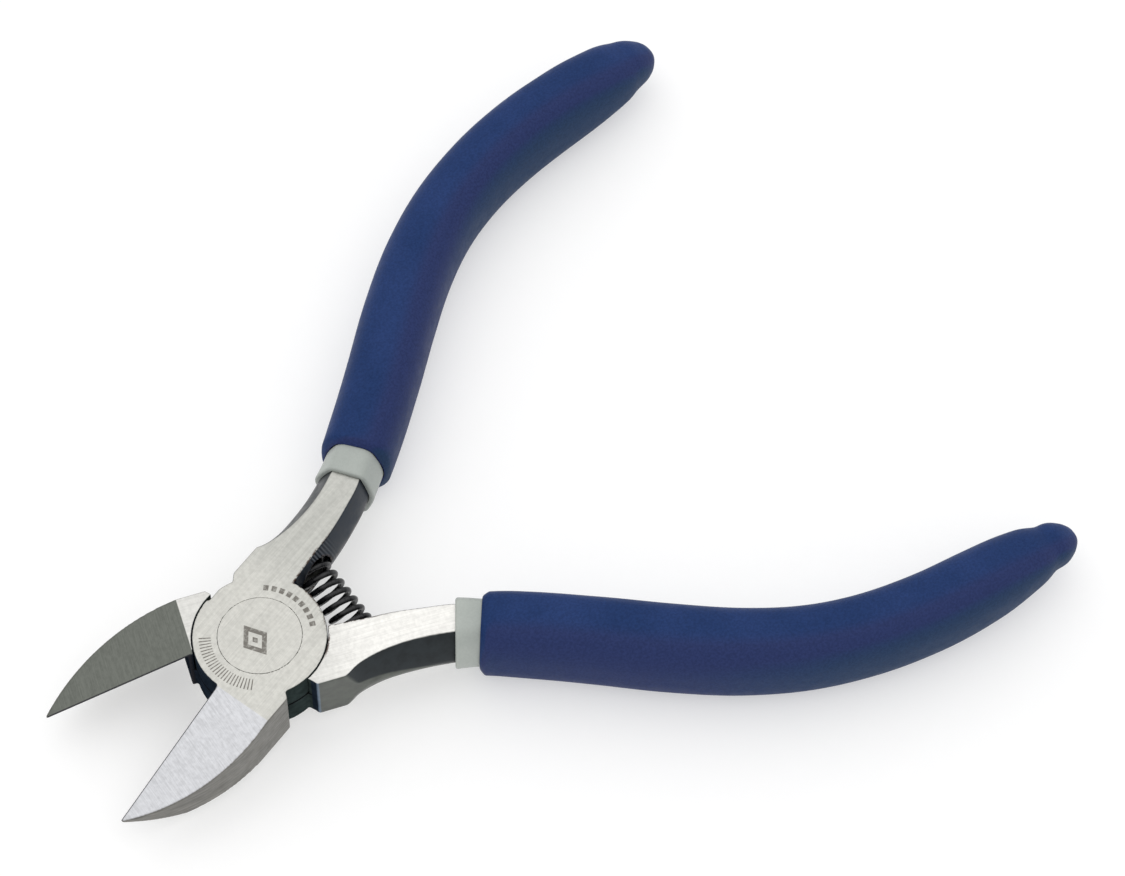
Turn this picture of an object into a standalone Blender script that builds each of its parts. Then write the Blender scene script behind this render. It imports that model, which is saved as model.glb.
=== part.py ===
"""Diagonal cutting pliers with a lap joint, a coil return spring and two-coat dipped grips.

Frame: millimetres are turned into metres by MM. +Z is up. The origin is on the pivot axis at the
underside of the joint. +X runs from the pivot towards the handles, along the line that halves the
angle between them, and the jaws point along -X. The tool stands open, as its spring holds it.

Each half is drawn in its closed position, with its jaw on one side of the X axis and its handle on
the other, and is then turned about the pivot. side = +1 is the half with its handle towards +Y.
"""
import math

import bmesh
import bpy
import numpy as np
from mathutils import Matrix, Vector

MM = 0.001

# Joint
JOINT_THICKNESS = 8.2
DISC_RADIUS = 8.25
RUNNING_GAP = 0.3
OPEN_HALF_ANGLE = math.radians(17.6)
RIVET_HEAD_RADIUS = 5.16
RIVET_SHANK_RADIUS = 3.2
RIVET_HEAD_DEPTH = 1.5
RIVET_RIM_DEPTH = 0.45

# Jaws
JAW_REACH = 27.3
JAW_DEPTH = 8.0
JAW_ROOT_X = -4.7
JAW_ROOT_LEAN = 0.7
JAW_BACK_START_X = -9.3
JAW_TIP_BLUNT = 0.35
CUTTING_GAP = 0.06
JAW_FACE_START_X = -8.4
JAW_FACE_SLOPE = math.radians(16.9)
EDGE_LAND = 0.12
RELIEF_ANGLE = math.radians(36)
RELIEF_START_X = -9.0
UNDERSIDE_START_X = -21.2
UNDERSIDE_SLOPE = math.radians(19)

# Shoulder, where the handle leaves the joint. Each half is ground to its own height.
SHOULDER_ANGLE = math.radians(62.5)
SHOULDER_X = 4.85
SHOULDER_Y = {1: 8.0, -1: 8.55}
SHOULDER_SPARE = 0.35
SHOULDER_GRIND_END_X = 15.0
TANG_START_X = 8.0

# Handle centre line in the closed position: distance from the pivot, offset from the X axis, and the
# direction in degrees that its cross-sections face.
CENTRE_LINE = (
    (6.6, 4.85, 0), (8.2, 4.85, 0), (10, 4.62, 0), (13, 4.45, 0), (16, 4.5, 2), (20, 4.95, 8),
    (23.5, 5.6, 14), (27.5, 6.7, 19), (32, 8.4, 22.5), (40, 11.8, 24.5), (48, 15.4, 23), (56, 18.5, 17.5),
    (64, 20.5, 9), (72, 21.1, 0), (80, 20.5, -8), (88, 18.95, -13), (95, 17.2, -14), (103, 15.2, -14),
)

# Tang cross-sections: distance, then the inner side's and the outer side's distance from the centre
# line, each at the ground flat and at mid height, then how square each side is.
TANG_SECTIONS = (
    (6.6, 3.3, 3.3, 3.85, 3.85, 12, 6),
    (8.2, 3.62, 3.65, 3.7, 4.1, 12, 3),
    (9.0, 3.45, 3.65, 3.4, 4.2, 3.5, 1.7),
    (10.0, 3.2, 3.7, 2.9, 4.15, 2.2, 1.5),
    (11.5, 2.95, 3.7, 2.45, 4.0, 1.7, 1.45),
    (13.0, 2.75, 3.7, 2.15, 3.85, 1.5, 1.4),
    (16.0, 2.6, 3.65, 1.75, 3.75, 1.4, 1.4),
    (20.0, 2.4, 3.55, 1.45, 3.55, 1.4, 1.4),
    (23.5, 2.3, 3.4, 1.4, 3.4, 1.4, 1.4),
    (27.0, 1.6, 2.9, 1.3, 2.9, 1.6, 1.6),
    (32.0, 1.2, 2.5, 1.2, 2.5, 1.8, 1.8),
    (60.0, 1.1, 2.4, 1.1, 2.4, 1.8, 1.8),
    (86.0, 0.8, 2.0, 0.8, 2.0, 1.8, 1.8),
    (93.0, 0.4, 1.0, 0.4, 1.0, 1.8, 1.8),
)
# Half thickness of the tang, before the joint's faces are ground flat.
TANG_THICKNESS = (
    (6.6, 4.5), (24, 4.5), (28, 4.2), (33, 3.8), (60, 3.6), (86, 3.0), (93, 1.6),
)
TANG_END_X = 93
TANG_NEAR_STATIONS = (
    6.6, 7.6, 8.2, 8.6, 9.0, 9.5, 10, 10.7, 11.5, 12.2, 13, 14.5, 16, 18, 20, 22, 23.5, 25, 27, 29,
)
TANG_FAR_X = 32

# Liner, the thin first coat. The upper handle is dipped a little less deep. The growth is the thickness
# that the coat adds to the tang, gap included, and the lower handle's collar is a little thicker.
COAT_GAP = 0.15
COAT_FLAT_SHARE = 0.55
COAT_CROWDING = 1.25
LINER_FRONT_X = {1: 23.9, -1: 23.3}
LINER_END_X = 94.8
LINER_GROWTH = {
    1: ((20, 0.6), (24.5, 0.7), (27.5, 0.98), (32, 1.1), (100, 1.0)),
    -1: ((20, 0.82), (25, 0.9), (27.5, 1.03), (32, 1.1), (100, 1.0)),
}
LINER_LIP = 0.25
LIP_ROUNDING = 0.6
TANG_END_GAP = 0.6

# Sleeve, the thick second coat: distance, half width, half height, and how far its middle sinks.
# Its underside necks slightly before the drop that hangs at its tip.
SLEEVE_FRONT_X = {1: 27.4, -1: 26.4}
SLEEVE_SECTIONS = (
    (26.4, 4.5, 6.15, 0), (30, 4.62, 6.35, 0), (38, 4.74, 6.4, 0), (46, 4.82, 6.45, 0), (54, 4.74, 6.5, 0),
    (62, 4.58, 6.5, 0), (70, 4.5, 6.4, 0), (78, 4.5, 6.35, 0), (86, 4.45, 6.1, 0.1), (91, 4.33, 5.5, 0.2),
    (94, 4.14, 4.86, 0.26), (96, 3.95, 4.38, 0.33), (97.2, 3.72, 4.04, 0.46), (98.4, 3.34, 3.6, 0.54),
    (99.5, 3.08, 3.35, 0.7), (100.5, 2.79, 3.02, 0.98), (101.3, 2.42, 2.64, 1.2), (102.2, 1.82, 2.03, 1.4),
    (102.8, 1.12, 1.28, 1.5), (103.1, 0.45, 0.52, 1.55),
)
# How much thinner each sleeve is than its table of sections, towards its tip
TIP_THINNING = {
    1: ((86, 0.0), (93, -0.1), (103.1, -0.1)),
    -1: ((86, 0.0), (92, 0.13), (96, 0.34), (98.2, 0.46), (99.8, 0.2), (103.1, 0.12)),
}
SLEEVE_TIP_STATIONS = (92.0, 94.0, 95.6, 97.0, 98.4, 99.6, 100.6, 101.5, 102.2, 102.7, 103.0, 103.1)
SLEEVE_SQUARENESS = 2.5
SLEEVE_CROWN = 0.985
SLEEVE_GAP = 0.2
SLEEVE_LIP = 0.35
SLEEVE_CAVITY_END_X = 95.6

# How far each handle's coats' front edges lean from square across the handle, in degrees, and the
# distance over which the lean fades out
LIP_LEAN = {1: 4.0, -1: 4.0}
LIP_LEAN_FADE = 14.0

# The two handles are bent by hand: each one's centre line is off by a small slope about one point, from
# the collar on, and its coat ends a little sooner or later.
HANDLE_SKEW = 0.006
HANDLE_SKEW_ABOUT_X = 62.0
HANDLE_SKEW_FROM_X = 18.0
HANDLE_SKEW_FULL_X = 30.0
TIP_SHIFT = {1: 0.6, -1: -0.8}
TIP_SHIFT_FROM_X = 80.0

# Return spring, straight along Y between the two pockets
SPRING_X = 11.3
SPRING_WIRE = 0.72
SPRING_DIAMETER = 4.8
SPRING_PITCH = 1.47
SPRING_SEAT_Y = 8.0
SPRING_END_PITCH = 0.8
SPRING_POINTS_PER_TURN = 12
POCKET_CLEARANCE = 0.3

SECTION_LEVELS = 10
LEVEL_SPREAD = math.radians(80)
SMOOTH_ANGLE = math.radians(28)
ROUND_STEPS = 72
GRIND_MARGIN = 0.6
BIG = 60.0
MID_Z = JOINT_THICKNESS / 2

MATERIALS = {
    "forged_steel": ((0.56, 0.56, 0.54), 0.38, 1.0),
    "rivet_steel": ((0.58, 0.58, 0.55), 0.35, 1.0),
    "black_spring": ((0.03, 0.03, 0.03), 0.45, 0.7),
    "grey_vinyl": ((0.42, 0.45, 0.42), 0.5, 0.0),
    "blue_vinyl": ((0.03, 0.05, 0.15), 0.42, 0.0),
}


def clear_scene():
    for item in list(bpy.data.objects):
        bpy.data.objects.remove(item, do_unlink=True)


def new_collection(name):
    collection = bpy.data.collections.new(name)
    bpy.context.scene.collection.children.link(collection)
    return collection


def make_materials():
    made = {}
    for name, (colour, roughness, metallic) in MATERIALS.items():
        material = bpy.data.materials.new(name)
        material.use_nodes = True
        shader = material.node_tree.nodes["Principled BSDF"]
        shader.inputs["Base Color"].default_value = (*colour, 1.0)
        shader.inputs["Roughness"].default_value = roughness
        shader.inputs["Metallic"].default_value = metallic
        material.diffuse_color = (*colour, 1.0)
        made[name] = material
    return made


def smooth_row(table, x):
    """The table's other columns at x, on a smooth curve through its rows."""
    rows = np.array(table, dtype=float)
    xs = rows[:, 0]
    values = rows[:, 1:]
    slopes = np.gradient(values, xs, axis=0)
    index = int(np.clip(np.searchsorted(xs, x) - 1, 0, len(xs) - 2))
    span = xs[index + 1] - xs[index]
    t = min(max((x - xs[index]) / span, 0.0), 1.0)
    start = (2 * t ** 3 - 3 * t ** 2 + 1) * values[index] + (t ** 3 - 2 * t ** 2 + t) * span * slopes[index]
    end = (3 * t ** 2 - 2 * t ** 3) * values[index + 1] + (t ** 3 - t ** 2) * span * slopes[index + 1]
    return start + end


def arc_points(centre, radius, start, end, steps):
    """Points on an arc, from the start angle to the end angle."""
    angles = [start + (end - start) * i / steps for i in range(steps + 1)]
    return [(centre[0] + radius * math.cos(a), centre[1] + radius * math.sin(a)) for a in angles]


def link_mesh(name, mesh, collection):
    item = bpy.data.objects.new(name, mesh)
    collection.objects.link(item)
    return item


def plate(name, outline, low, high, collection):
    """A flat outline, extruded between two heights, as a welded mesh."""
    curve = bpy.data.curves.new(name, "CURVE")
    curve.dimensions = "2D"
    curve.fill_mode = "BOTH"
    curve.extrude = (high - low) / 2 * MM
    spline = curve.splines.new("POLY")
    spline.points.add(len(outline) - 1)
    for point, (x, y) in zip(spline.points, outline):
        point.co = (x * MM, y * MM, 0, 1)
    spline.use_cyclic_u = True
    guide = bpy.data.objects.new(name + "_outline", curve)
    guide.location.z = (high + low) / 2 * MM
    collection.objects.link(guide)
    bpy.context.view_layer.update()
    mesh = bpy.data.meshes.new_from_object(guide.evaluated_get(bpy.context.evaluated_depsgraph_get()))
    item = link_mesh(name, mesh, collection)
    item.matrix_world = guide.matrix_world.copy()
    bpy.data.objects.remove(guide)
    tidy_mesh(item)
    return item


def tidy_mesh(item):
    """Weld a mesh and turn its faces outwards."""
    work = bmesh.new()
    work.from_mesh(item.data)
    bmesh.ops.remove_doubles(work, verts=work.verts, dist=0.00001)
    bmesh.ops.recalc_face_normals(work, faces=work.faces)
    work.to_mesh(item.data)
    work.free()


def loft(name, rings, collection):
    """One closed solid through a row of rings with equal numbers of points, capped at both ends."""
    work = bmesh.new()
    levels = [[work.verts.new(Vector(point) * MM) for point in ring] for ring in rings]
    count = len(rings[0])
    for near, far in zip(levels, levels[1:]):
        for i in range(count):
            j = (i + 1) % count
            work.faces.new((near[i], near[j], far[j], far[i]))
    work.faces.new(levels[0])
    work.faces.new(reversed(levels[-1]))
    bmesh.ops.recalc_face_normals(work, faces=work.faces)
    mesh = bpy.data.meshes.new(name)
    work.to_mesh(mesh)
    work.free()
    return link_mesh(name, mesh, collection)


def apply_modifiers(item):
    mesh = bpy.data.meshes.new_from_object(item.evaluated_get(bpy.context.evaluated_depsgraph_get()))
    item.modifiers.clear()
    item.data = mesh


def combine(item, other, operation):
    """Join another solid to this one, or cut it away, and apply the result."""
    modifier = item.modifiers.new(operation.lower(), "BOOLEAN")
    modifier.operation = operation
    modifier.object = other
    bpy.context.view_layer.update()
    apply_modifiers(item)


def as_cutter(item):
    item.hide_render = True
    item.display_type = "WIRE"


def cut(item, cutter):
    as_cutter(cutter)
    combine(item, cutter, "DIFFERENCE")


def box_cutter(name, low, high, collection, placement=None):
    """A box between two corners, moved by an optional matrix in millimetres."""
    work = bmesh.new()
    size = [b - a for a, b in zip(low, high)]
    middle = [(a + b) / 2 for a, b in zip(low, high)]
    bmesh.ops.create_cube(work, size=1.0)
    matrix = Matrix.Translation(middle) @ Matrix.Diagonal((*size, 1.0))
    if placement is not None:
        matrix = placement @ matrix
    bmesh.ops.transform(work, matrix=Matrix.Scale(MM, 4) @ matrix, verts=work.verts)
    mesh = bpy.data.meshes.new(name)
    work.to_mesh(mesh)
    work.free()
    return link_mesh(name, mesh, collection)


def cylinder_cutter(name, radius, depth, placement, collection):
    """A cylinder about the local Z axis, centred on the placement, which is in millimetres."""
    work = bmesh.new()
    bmesh.ops.create_cone(work, cap_ends=True, segments=ROUND_STEPS, radius1=radius, radius2=radius,
                          depth=depth)
    bmesh.ops.transform(work, matrix=Matrix.Scale(MM, 4) @ placement, verts=work.verts)
    mesh = bpy.data.meshes.new(name)
    work.to_mesh(mesh)
    work.free()
    return link_mesh(name, mesh, collection)


def turned(name, profile, collection):
    """A solid of revolution about Z. The profile runs down its outer side, from top to bottom."""
    work = bmesh.new()
    points = [work.verts.new(Vector((r, 0, z)) * MM) for r, z in profile]
    for upper, lower in zip(points, points[1:]):
        work.edges.new((upper, lower))
    mesh = bpy.data.meshes.new(name)
    work.to_mesh(mesh)
    work.free()
    item = link_mesh(name, mesh, collection)
    screw = item.modifiers.new("turn", "SCREW")
    screw.steps = ROUND_STEPS
    screw.render_steps = ROUND_STEPS
    screw.use_merge_vertices = True
    screw.merge_threshold = 0.00001
    bpy.context.view_layer.update()
    apply_modifiers(item)
    tidy_mesh(item)
    return item


def jaw_back(side):
    """The curved back of the jaw, from its root to its tip."""
    run = JAW_REACH + JAW_BACK_START_X
    rise = JAW_DEPTH - CUTTING_GAP - JAW_TIP_BLUNT
    radius = (run ** 2 + rise ** 2) / (2 * rise)
    centre = (JAW_BACK_START_X, -JAW_DEPTH + radius)
    sweep = math.asin(run / radius)
    points = arc_points(centre, radius, -math.pi / 2, -math.pi / 2 - sweep, 20)
    return [(x, side * y) for x, y in points]


def half_outline(side):
    """Jaw, joint disc and shoulder of one half, seen from above in the closed position."""
    edge_angle = math.pi + math.asin(CUTTING_GAP / DISC_RADIUS)
    inner_angle = math.acos(TANG_START_X / DISC_RADIUS)
    root_angle = -math.acos((JAW_ROOT_X + JAW_ROOT_LEAN) / DISC_RADIUS)
    outline = [(-JAW_REACH, -CUTTING_GAP)]
    outline += arc_points((0, 0), DISC_RADIUS, edge_angle, SHOULDER_ANGLE, 36)
    lean = (SHOULDER_X - outline[-1][0]) / (SHOULDER_Y[side] - outline[-1][1])
    spare_y = SHOULDER_Y[side] + SHOULDER_SPARE
    outline += [(SHOULDER_X + lean * SHOULDER_SPARE, spare_y), (TANG_START_X, spare_y)]
    outline += arc_points((0, 0), DISC_RADIUS, inner_angle, root_angle, 40)
    outline += [(JAW_ROOT_X, -JAW_DEPTH)]
    return [(x, side * y) for x, y in outline] + jaw_back(side)


def ease(t):
    """A smooth step from 0 at t = 0 to 1 at t = 1."""
    t = min(max(t, 0.0), 1.0)
    return t * t * (3 - 2 * t)


def section_frame(x, side, lean):
    """Centre of the handle's cross-section at x, and its outward direction."""
    y, facing = smooth_row(CENTRE_LINE, x)
    skew = ease((x - HANDLE_SKEW_FROM_X) / (HANDLE_SKEW_FULL_X - HANDLE_SKEW_FROM_X))
    y += side * skew * HANDLE_SKEW * (HANDLE_SKEW_ABOUT_X - x)
    x += TIP_SHIFT[side] * ease((x - TIP_SHIFT_FROM_X) / (SLEEVE_TIP_STATIONS[-1] - TIP_SHIFT_FROM_X))
    fade = max(0.0, 1 - (x - LINER_FRONT_X[side]) / LIP_LEAN_FADE)
    lean = math.radians(lean) * fade
    facing = math.radians(facing) + lean
    stretch = 1 / math.cos(lean)
    return (x, side * y), (-math.sin(facing) * stretch, side * math.cos(facing) * stretch)


def ring_at(x, side, outer, inner, lean=0.0):
    """A closed ring at x from two lists of (offset, height): the outer side, then the inner one."""
    (cx, cy), (nx, ny) = section_frame(x, side, lean)
    ring = [(cx + nx * offset, cy + ny * offset, MID_Z + height) for offset, height in outer]
    ring += [(cx - nx * offset, cy - ny * offset, MID_Z + height) for offset, height in reversed(inner)]
    return ring


def levels():
    """Heights from -1 to 1, closer together near the ends."""
    angles = [LEVEL_SPREAD * (2 * i / (SECTION_LEVELS - 1) - 1) for i in range(SECTION_LEVELS)]
    return [math.sin(angle) / math.sin(LEVEL_SPREAD) for angle in angles]


def tang_ring(x, side, growth=0.0):
    """The tang's section: two ground flats with a swelling side between them."""
    inner_flat, inner_mid, outer_flat, outer_mid, inner_power, outer_power = smooth_row(TANG_SECTIONS, x)
    thickness = smooth_row(TANG_THICKNESS, x)[0]
    half = thickness + growth
    if growth:
        half = min(thickness, MID_Z) + growth
    reach = half / (min(thickness, MID_Z) + growth)

    def side_points(flat, mid, power):
        flat = flat + growth * COAT_FLAT_SHARE
        mid = mid + growth
        return [(flat + (mid - flat) * (1 - (abs(t) * reach) ** power), t * half) for t in levels()]

    lean = LIP_LEAN[side] if growth else 0.0
    return ring_at(x, side, side_points(outer_flat, outer_mid, outer_power),
                   side_points(inner_flat, inner_mid, inner_power), lean)


def oval_ring(x, side, shrink=0.0):
    """A squarish oval section of the sleeve."""
    half_width, half_height, sink = smooth_row(SLEEVE_SECTIONS, x)
    thinning = shrink + smooth_row(TIP_THINNING[side], x)[0]
    half_width -= thinning
    half_height -= thinning
    points = []
    for t in levels():
        height = SLEEVE_CROWN * t
        width = (1 - abs(height) ** SLEEVE_SQUARENESS) ** (1 / SLEEVE_SQUARENESS)
        points.append((half_width * width, half_height * height - sink))
    return ring_at(x, side, points, points, LIP_LEAN[side])


def tang(name, side, collection):
    stations = list(TANG_NEAR_STATIONS) + list(np.linspace(TANG_FAR_X, TANG_END_X, 12))
    return loft(name, [tang_ring(x, side) for x in stations], collection)


def face_frame():
    """Local axes of the ground jaw face: X along the jaw and Z out of the face, at the face's start."""
    start = Matrix.Translation((JAW_FACE_START_X, 0, JOINT_THICKNESS))
    return start @ Matrix.Rotation(-JAW_FACE_SLOPE, 4, "Y")


def edge_frame(side):
    """The cutting edge as X, sheared so that planes across it stay upright."""
    shear = Matrix.Identity(4)
    shear[2][0] = math.tan(JAW_FACE_SLOPE)
    start = (JAW_FACE_START_X, -side * CUTTING_GAP, JOINT_THICKNESS - EDGE_LAND)
    return Matrix.Translation(start) @ shear


def steel_half(name, side, collection, cutters):
    """One forging. side = +1 carries its disc in the upper half of the joint, -1 in the lower half."""
    body = plate(name, half_outline(side), -GRIND_MARGIN, JOINT_THICKNESS + GRIND_MARGIN, collection)
    handle = tang(name + "_tang", side, cutters)
    combine(body, handle, "UNION")
    bpy.data.objects.remove(handle)

    above = box_cutter(name + "_grind_top", (-BIG, -BIG, JOINT_THICKNESS), (3 * BIG, BIG, BIG), cutters)
    below = box_cutter(name + "_grind_bottom", (-BIG, -BIG, -BIG), (3 * BIG, BIG, 0), cutters)
    cut(body, above)
    cut(body, below)

    low_y, high_y = sorted((side * SHOULDER_Y[side], side * BIG))
    shoulder = box_cutter(name + "_shoulder", (0, low_y, -BIG), (SHOULDER_GRIND_END_X, high_y, BIG), cutters)
    cut(body, shoulder)

    cut(body, box_cutter(name + "_face", (-BIG, -BIG, 0), (0, BIG, BIG), cutters, face_frame()))
    underside = Matrix.Translation((UNDERSIDE_START_X, 0, 0)) @ Matrix.Rotation(UNDERSIDE_SLOPE, 4, "Y")
    cut(body, box_cutter(name + "_underside", (-BIG, -BIG, -BIG), (0, BIG, 0), cutters, underside))

    relief = edge_frame(side) @ Matrix.Rotation(-side * RELIEF_ANGLE, 4, "X")
    relief_end = RELIEF_START_X - JAW_FACE_START_X
    low_y, high_y = sorted((0, side * BIG))
    cut(body, box_cutter(name + "_relief", (-BIG, low_y, -BIG), (relief_end, high_y, 0), cutters, relief))

    gap = RUNNING_GAP / 2
    recess_low, recess_high = (-BIG, MID_Z + gap) if side > 0 else (MID_Z - gap, BIG)
    recess = Matrix.Translation((0, 0, (recess_low + recess_high) / 2))
    cut(body, cylinder_cutter(name + "_recess", DISC_RADIUS + RUNNING_GAP, recess_high - recess_low,
                              recess, cutters))
    cut(body, turned(name + "_rivet_seat", rivet_profile(RUNNING_GAP), cutters))

    pocket = turn(side).inverted() @ Matrix.Translation((SPRING_X, side * SPRING_SEAT_Y / 2, MID_Z))
    pocket = pocket @ Matrix.Rotation(math.pi / 2, 4, "X")
    cut(body, cylinder_cutter(name + "_pocket", SPRING_DIAMETER / 2 + POCKET_CLEARANCE,
                              SPRING_SEAT_Y + 2 * POCKET_CLEARANCE, pocket, cutters))
    tidy_mesh(body)
    return body


def turn(side):
    """The turn about the pivot from the closed to the open position."""
    return Matrix.Rotation(side * OPEN_HALF_ANGLE, 4, "Z")


def rivet_profile(clearance):
    """Profile of the rivet, or of its seat when clearance is added to it."""
    head = RIVET_HEAD_RADIUS + clearance
    shank = RIVET_SHANK_RADIUS + clearance
    over = GRIND_MARGIN if clearance else 0.0
    top = JOINT_THICKNESS
    return [(0, top + over), (head, top + over), (head, top - RIVET_RIM_DEPTH),
            (shank, top - RIVET_HEAD_DEPTH - clearance), (shank, RIVET_HEAD_DEPTH + clearance),
            (head, RIVET_RIM_DEPTH), (head, -over), (0, -over)]


def coat_stations(front, end, count):
    """Stations along a coat, closer together near its front lip."""
    return [front + (end - front) * (i / (count - 1)) ** COAT_CROWDING for i in range(count)]


def liner(name, side, collection):
    """The first coat: a thin cup over the tang, open at the front."""
    front = LINER_FRONT_X[side]
    stations = coat_stations(front, TANG_END_X + TANG_END_GAP, 16)
    inside = [tang_ring(x, side, COAT_GAP) for x in reversed(stations)]
    outside = []
    for x in coat_stations(front + LINER_LIP, LINER_END_X, 18):
        outside.append(tang_ring(x, side, smooth_row(LINER_GROWTH[side], x)[0]))
    lip = tang_ring(front, side, smooth_row(LINER_GROWTH[side], front)[0] - LINER_LIP * LIP_ROUNDING)
    return loft(name, inside + [lip] + outside, collection)


def sleeve(name, side, collection):
    """The second coat: a thick cup over the liner, rounded at its tip."""
    def cavity(x):
        return tang_ring(x, side, smooth_row(LINER_GROWTH[side], x)[0] + SLEEVE_GAP)

    front = SLEEVE_FRONT_X[side]
    inside = [cavity(x) for x in reversed(coat_stations(front, SLEEVE_CAVITY_END_X, 16))]
    stations = list(np.linspace(front + SLEEVE_LIP, SLEEVE_TIP_STATIONS[0], 16))
    outside = [oval_ring(x, side) for x in stations + list(SLEEVE_TIP_STATIONS[1:])]
    lip = oval_ring(front, side, SLEEVE_LIP * LIP_ROUNDING)
    return loft(name, inside + [lip] + outside, collection)


def spring_path():
    """Centre line of the coil: a close turn at each end and even turns between."""
    radius = (SPRING_DIAMETER - SPRING_WIRE) / 2
    half = SPRING_SEAT_Y - SPRING_WIRE / 2
    even_turns = (2 * half - 2 * SPRING_END_PITCH) / SPRING_PITCH
    turns = even_turns + 2
    points = []
    steps = int(turns * SPRING_POINTS_PER_TURN)
    for i in range(steps + 1):
        t = turns * i / steps
        climb = min(t, 1) * SPRING_END_PITCH + max(t - 1, 0) * SPRING_PITCH
        climb -= max(t - turns + 1, 0) * (SPRING_PITCH - SPRING_END_PITCH)
        angle = 2 * math.pi * t
        points.append((SPRING_X + radius * math.cos(angle), -half + climb, MID_Z + radius * math.sin(angle)))
    return points


def spring(name, collection):
    curve = bpy.data.curves.new(name, "CURVE")
    curve.dimensions = "3D"
    curve.bevel_depth = SPRING_WIRE / 2 * MM
    curve.bevel_resolution = 2
    curve.use_fill_caps = True
    points = spring_path()
    spline = curve.splines.new("POLY")
    spline.points.add(len(points) - 1)
    for point, (x, y, z) in zip(spline.points, points):
        point.co = (x * MM, y * MM, z * MM, 1)
    guide = bpy.data.objects.new(name + "_wire", curve)
    collection.objects.link(guide)
    bpy.context.view_layer.update()
    mesh = bpy.data.meshes.new_from_object(guide.evaluated_get(bpy.context.evaluated_depsgraph_get()))
    item = link_mesh(name, mesh, collection)
    bpy.data.objects.remove(guide)
    tidy_mesh(item)
    return item


def finish(item, material, parent):
    item.data.materials.clear()
    item.data.materials.append(material)
    item.data.shade_smooth()
    item.data.set_sharp_from_angle(angle=SMOOTH_ANGLE)
    if parent is not None:
        item.parent = parent


def axis_empty(name, side, collection):
    """An empty on the pivot axis that carries one half of the tool, turned to the open position."""
    empty = bpy.data.objects.new(name, None)
    empty.rotation_euler.z = side * OPEN_HALF_ANGLE
    collection.objects.link(empty)
    return empty


def main():
    clear_scene()
    parts = new_collection("diagonal_cutting_pliers")
    cutters = new_collection("cutters")
    looks = make_materials()

    for prefix, side in (("upper", 1), ("lower", -1)):
        axis = axis_empty(prefix + "_axis", side, parts)
        finish(steel_half(prefix + "_half", side, parts, cutters), looks["forged_steel"], axis)
        finish(liner(prefix + "_grip_liner", side, parts), looks["grey_vinyl"], axis)
        finish(sleeve(prefix + "_grip_sleeve", side, parts), looks["blue_vinyl"], axis)

    finish(turned("pivot_rivet", rivet_profile(0.0), parts), looks["rivet_steel"], None)
    finish(spring("return_spring", parts), looks["black_spring"], None)


main()
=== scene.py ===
"""Looks of the diagonal cutting pliers: finer meshes, procedural materials, floor, light and camera.

The part's own frame is used throughout: the origin is on the pivot axis at the joint's underside, +X
runs between the handles, +Z is up, and the upper half's handle is towards +Y. Shapes are worked out in
millimetres and turned into metres by MM. As in the CAD part, each half is drawn in its closed
position, with its jaw on one side of the X axis and its handle on the other, and is then turned about
the pivot. side = +1 is the half with its handle towards +Y.
"""
import math
from functools import reduce

import bmesh
import bpy
import numpy as np
from mathutils import Matrix, Vector


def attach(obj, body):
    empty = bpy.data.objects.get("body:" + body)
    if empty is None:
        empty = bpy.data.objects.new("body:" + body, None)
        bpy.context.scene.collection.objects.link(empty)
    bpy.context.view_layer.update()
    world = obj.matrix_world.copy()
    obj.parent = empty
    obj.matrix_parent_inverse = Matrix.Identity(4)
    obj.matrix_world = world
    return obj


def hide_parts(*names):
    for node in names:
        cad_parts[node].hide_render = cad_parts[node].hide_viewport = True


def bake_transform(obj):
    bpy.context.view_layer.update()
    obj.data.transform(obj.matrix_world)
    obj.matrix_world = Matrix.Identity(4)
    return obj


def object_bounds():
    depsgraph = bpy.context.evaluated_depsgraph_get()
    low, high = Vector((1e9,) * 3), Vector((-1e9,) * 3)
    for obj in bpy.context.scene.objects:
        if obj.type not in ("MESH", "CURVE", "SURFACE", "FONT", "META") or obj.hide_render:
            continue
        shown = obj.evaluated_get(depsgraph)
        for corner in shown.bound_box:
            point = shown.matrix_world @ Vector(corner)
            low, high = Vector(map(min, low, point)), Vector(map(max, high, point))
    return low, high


MM = 0.001

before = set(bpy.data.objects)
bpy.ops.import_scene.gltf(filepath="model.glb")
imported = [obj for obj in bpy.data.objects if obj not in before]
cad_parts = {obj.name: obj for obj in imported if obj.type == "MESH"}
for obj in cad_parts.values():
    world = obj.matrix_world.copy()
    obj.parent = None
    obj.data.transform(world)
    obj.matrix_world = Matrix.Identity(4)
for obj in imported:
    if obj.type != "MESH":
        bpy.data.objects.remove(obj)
cad_low, cad_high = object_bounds()

# Camera: its target and distance in metres, its lens and sensor in millimetres
CAMERA_TARGET = Vector((0.0480, 0.0028, 0.0041))
CAMERA_DISTANCE = 0.4428
CAMERA_AZIMUTH = math.radians(-38.43)
CAMERA_ELEVATION = math.radians(59.94)
CAMERA_ROLL = math.radians(2.49)
CAMERA_LENS = 111.0
CAMERA_SENSOR = 36.0
CAMERA_CLIP = (0.01, 10.0)

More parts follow.
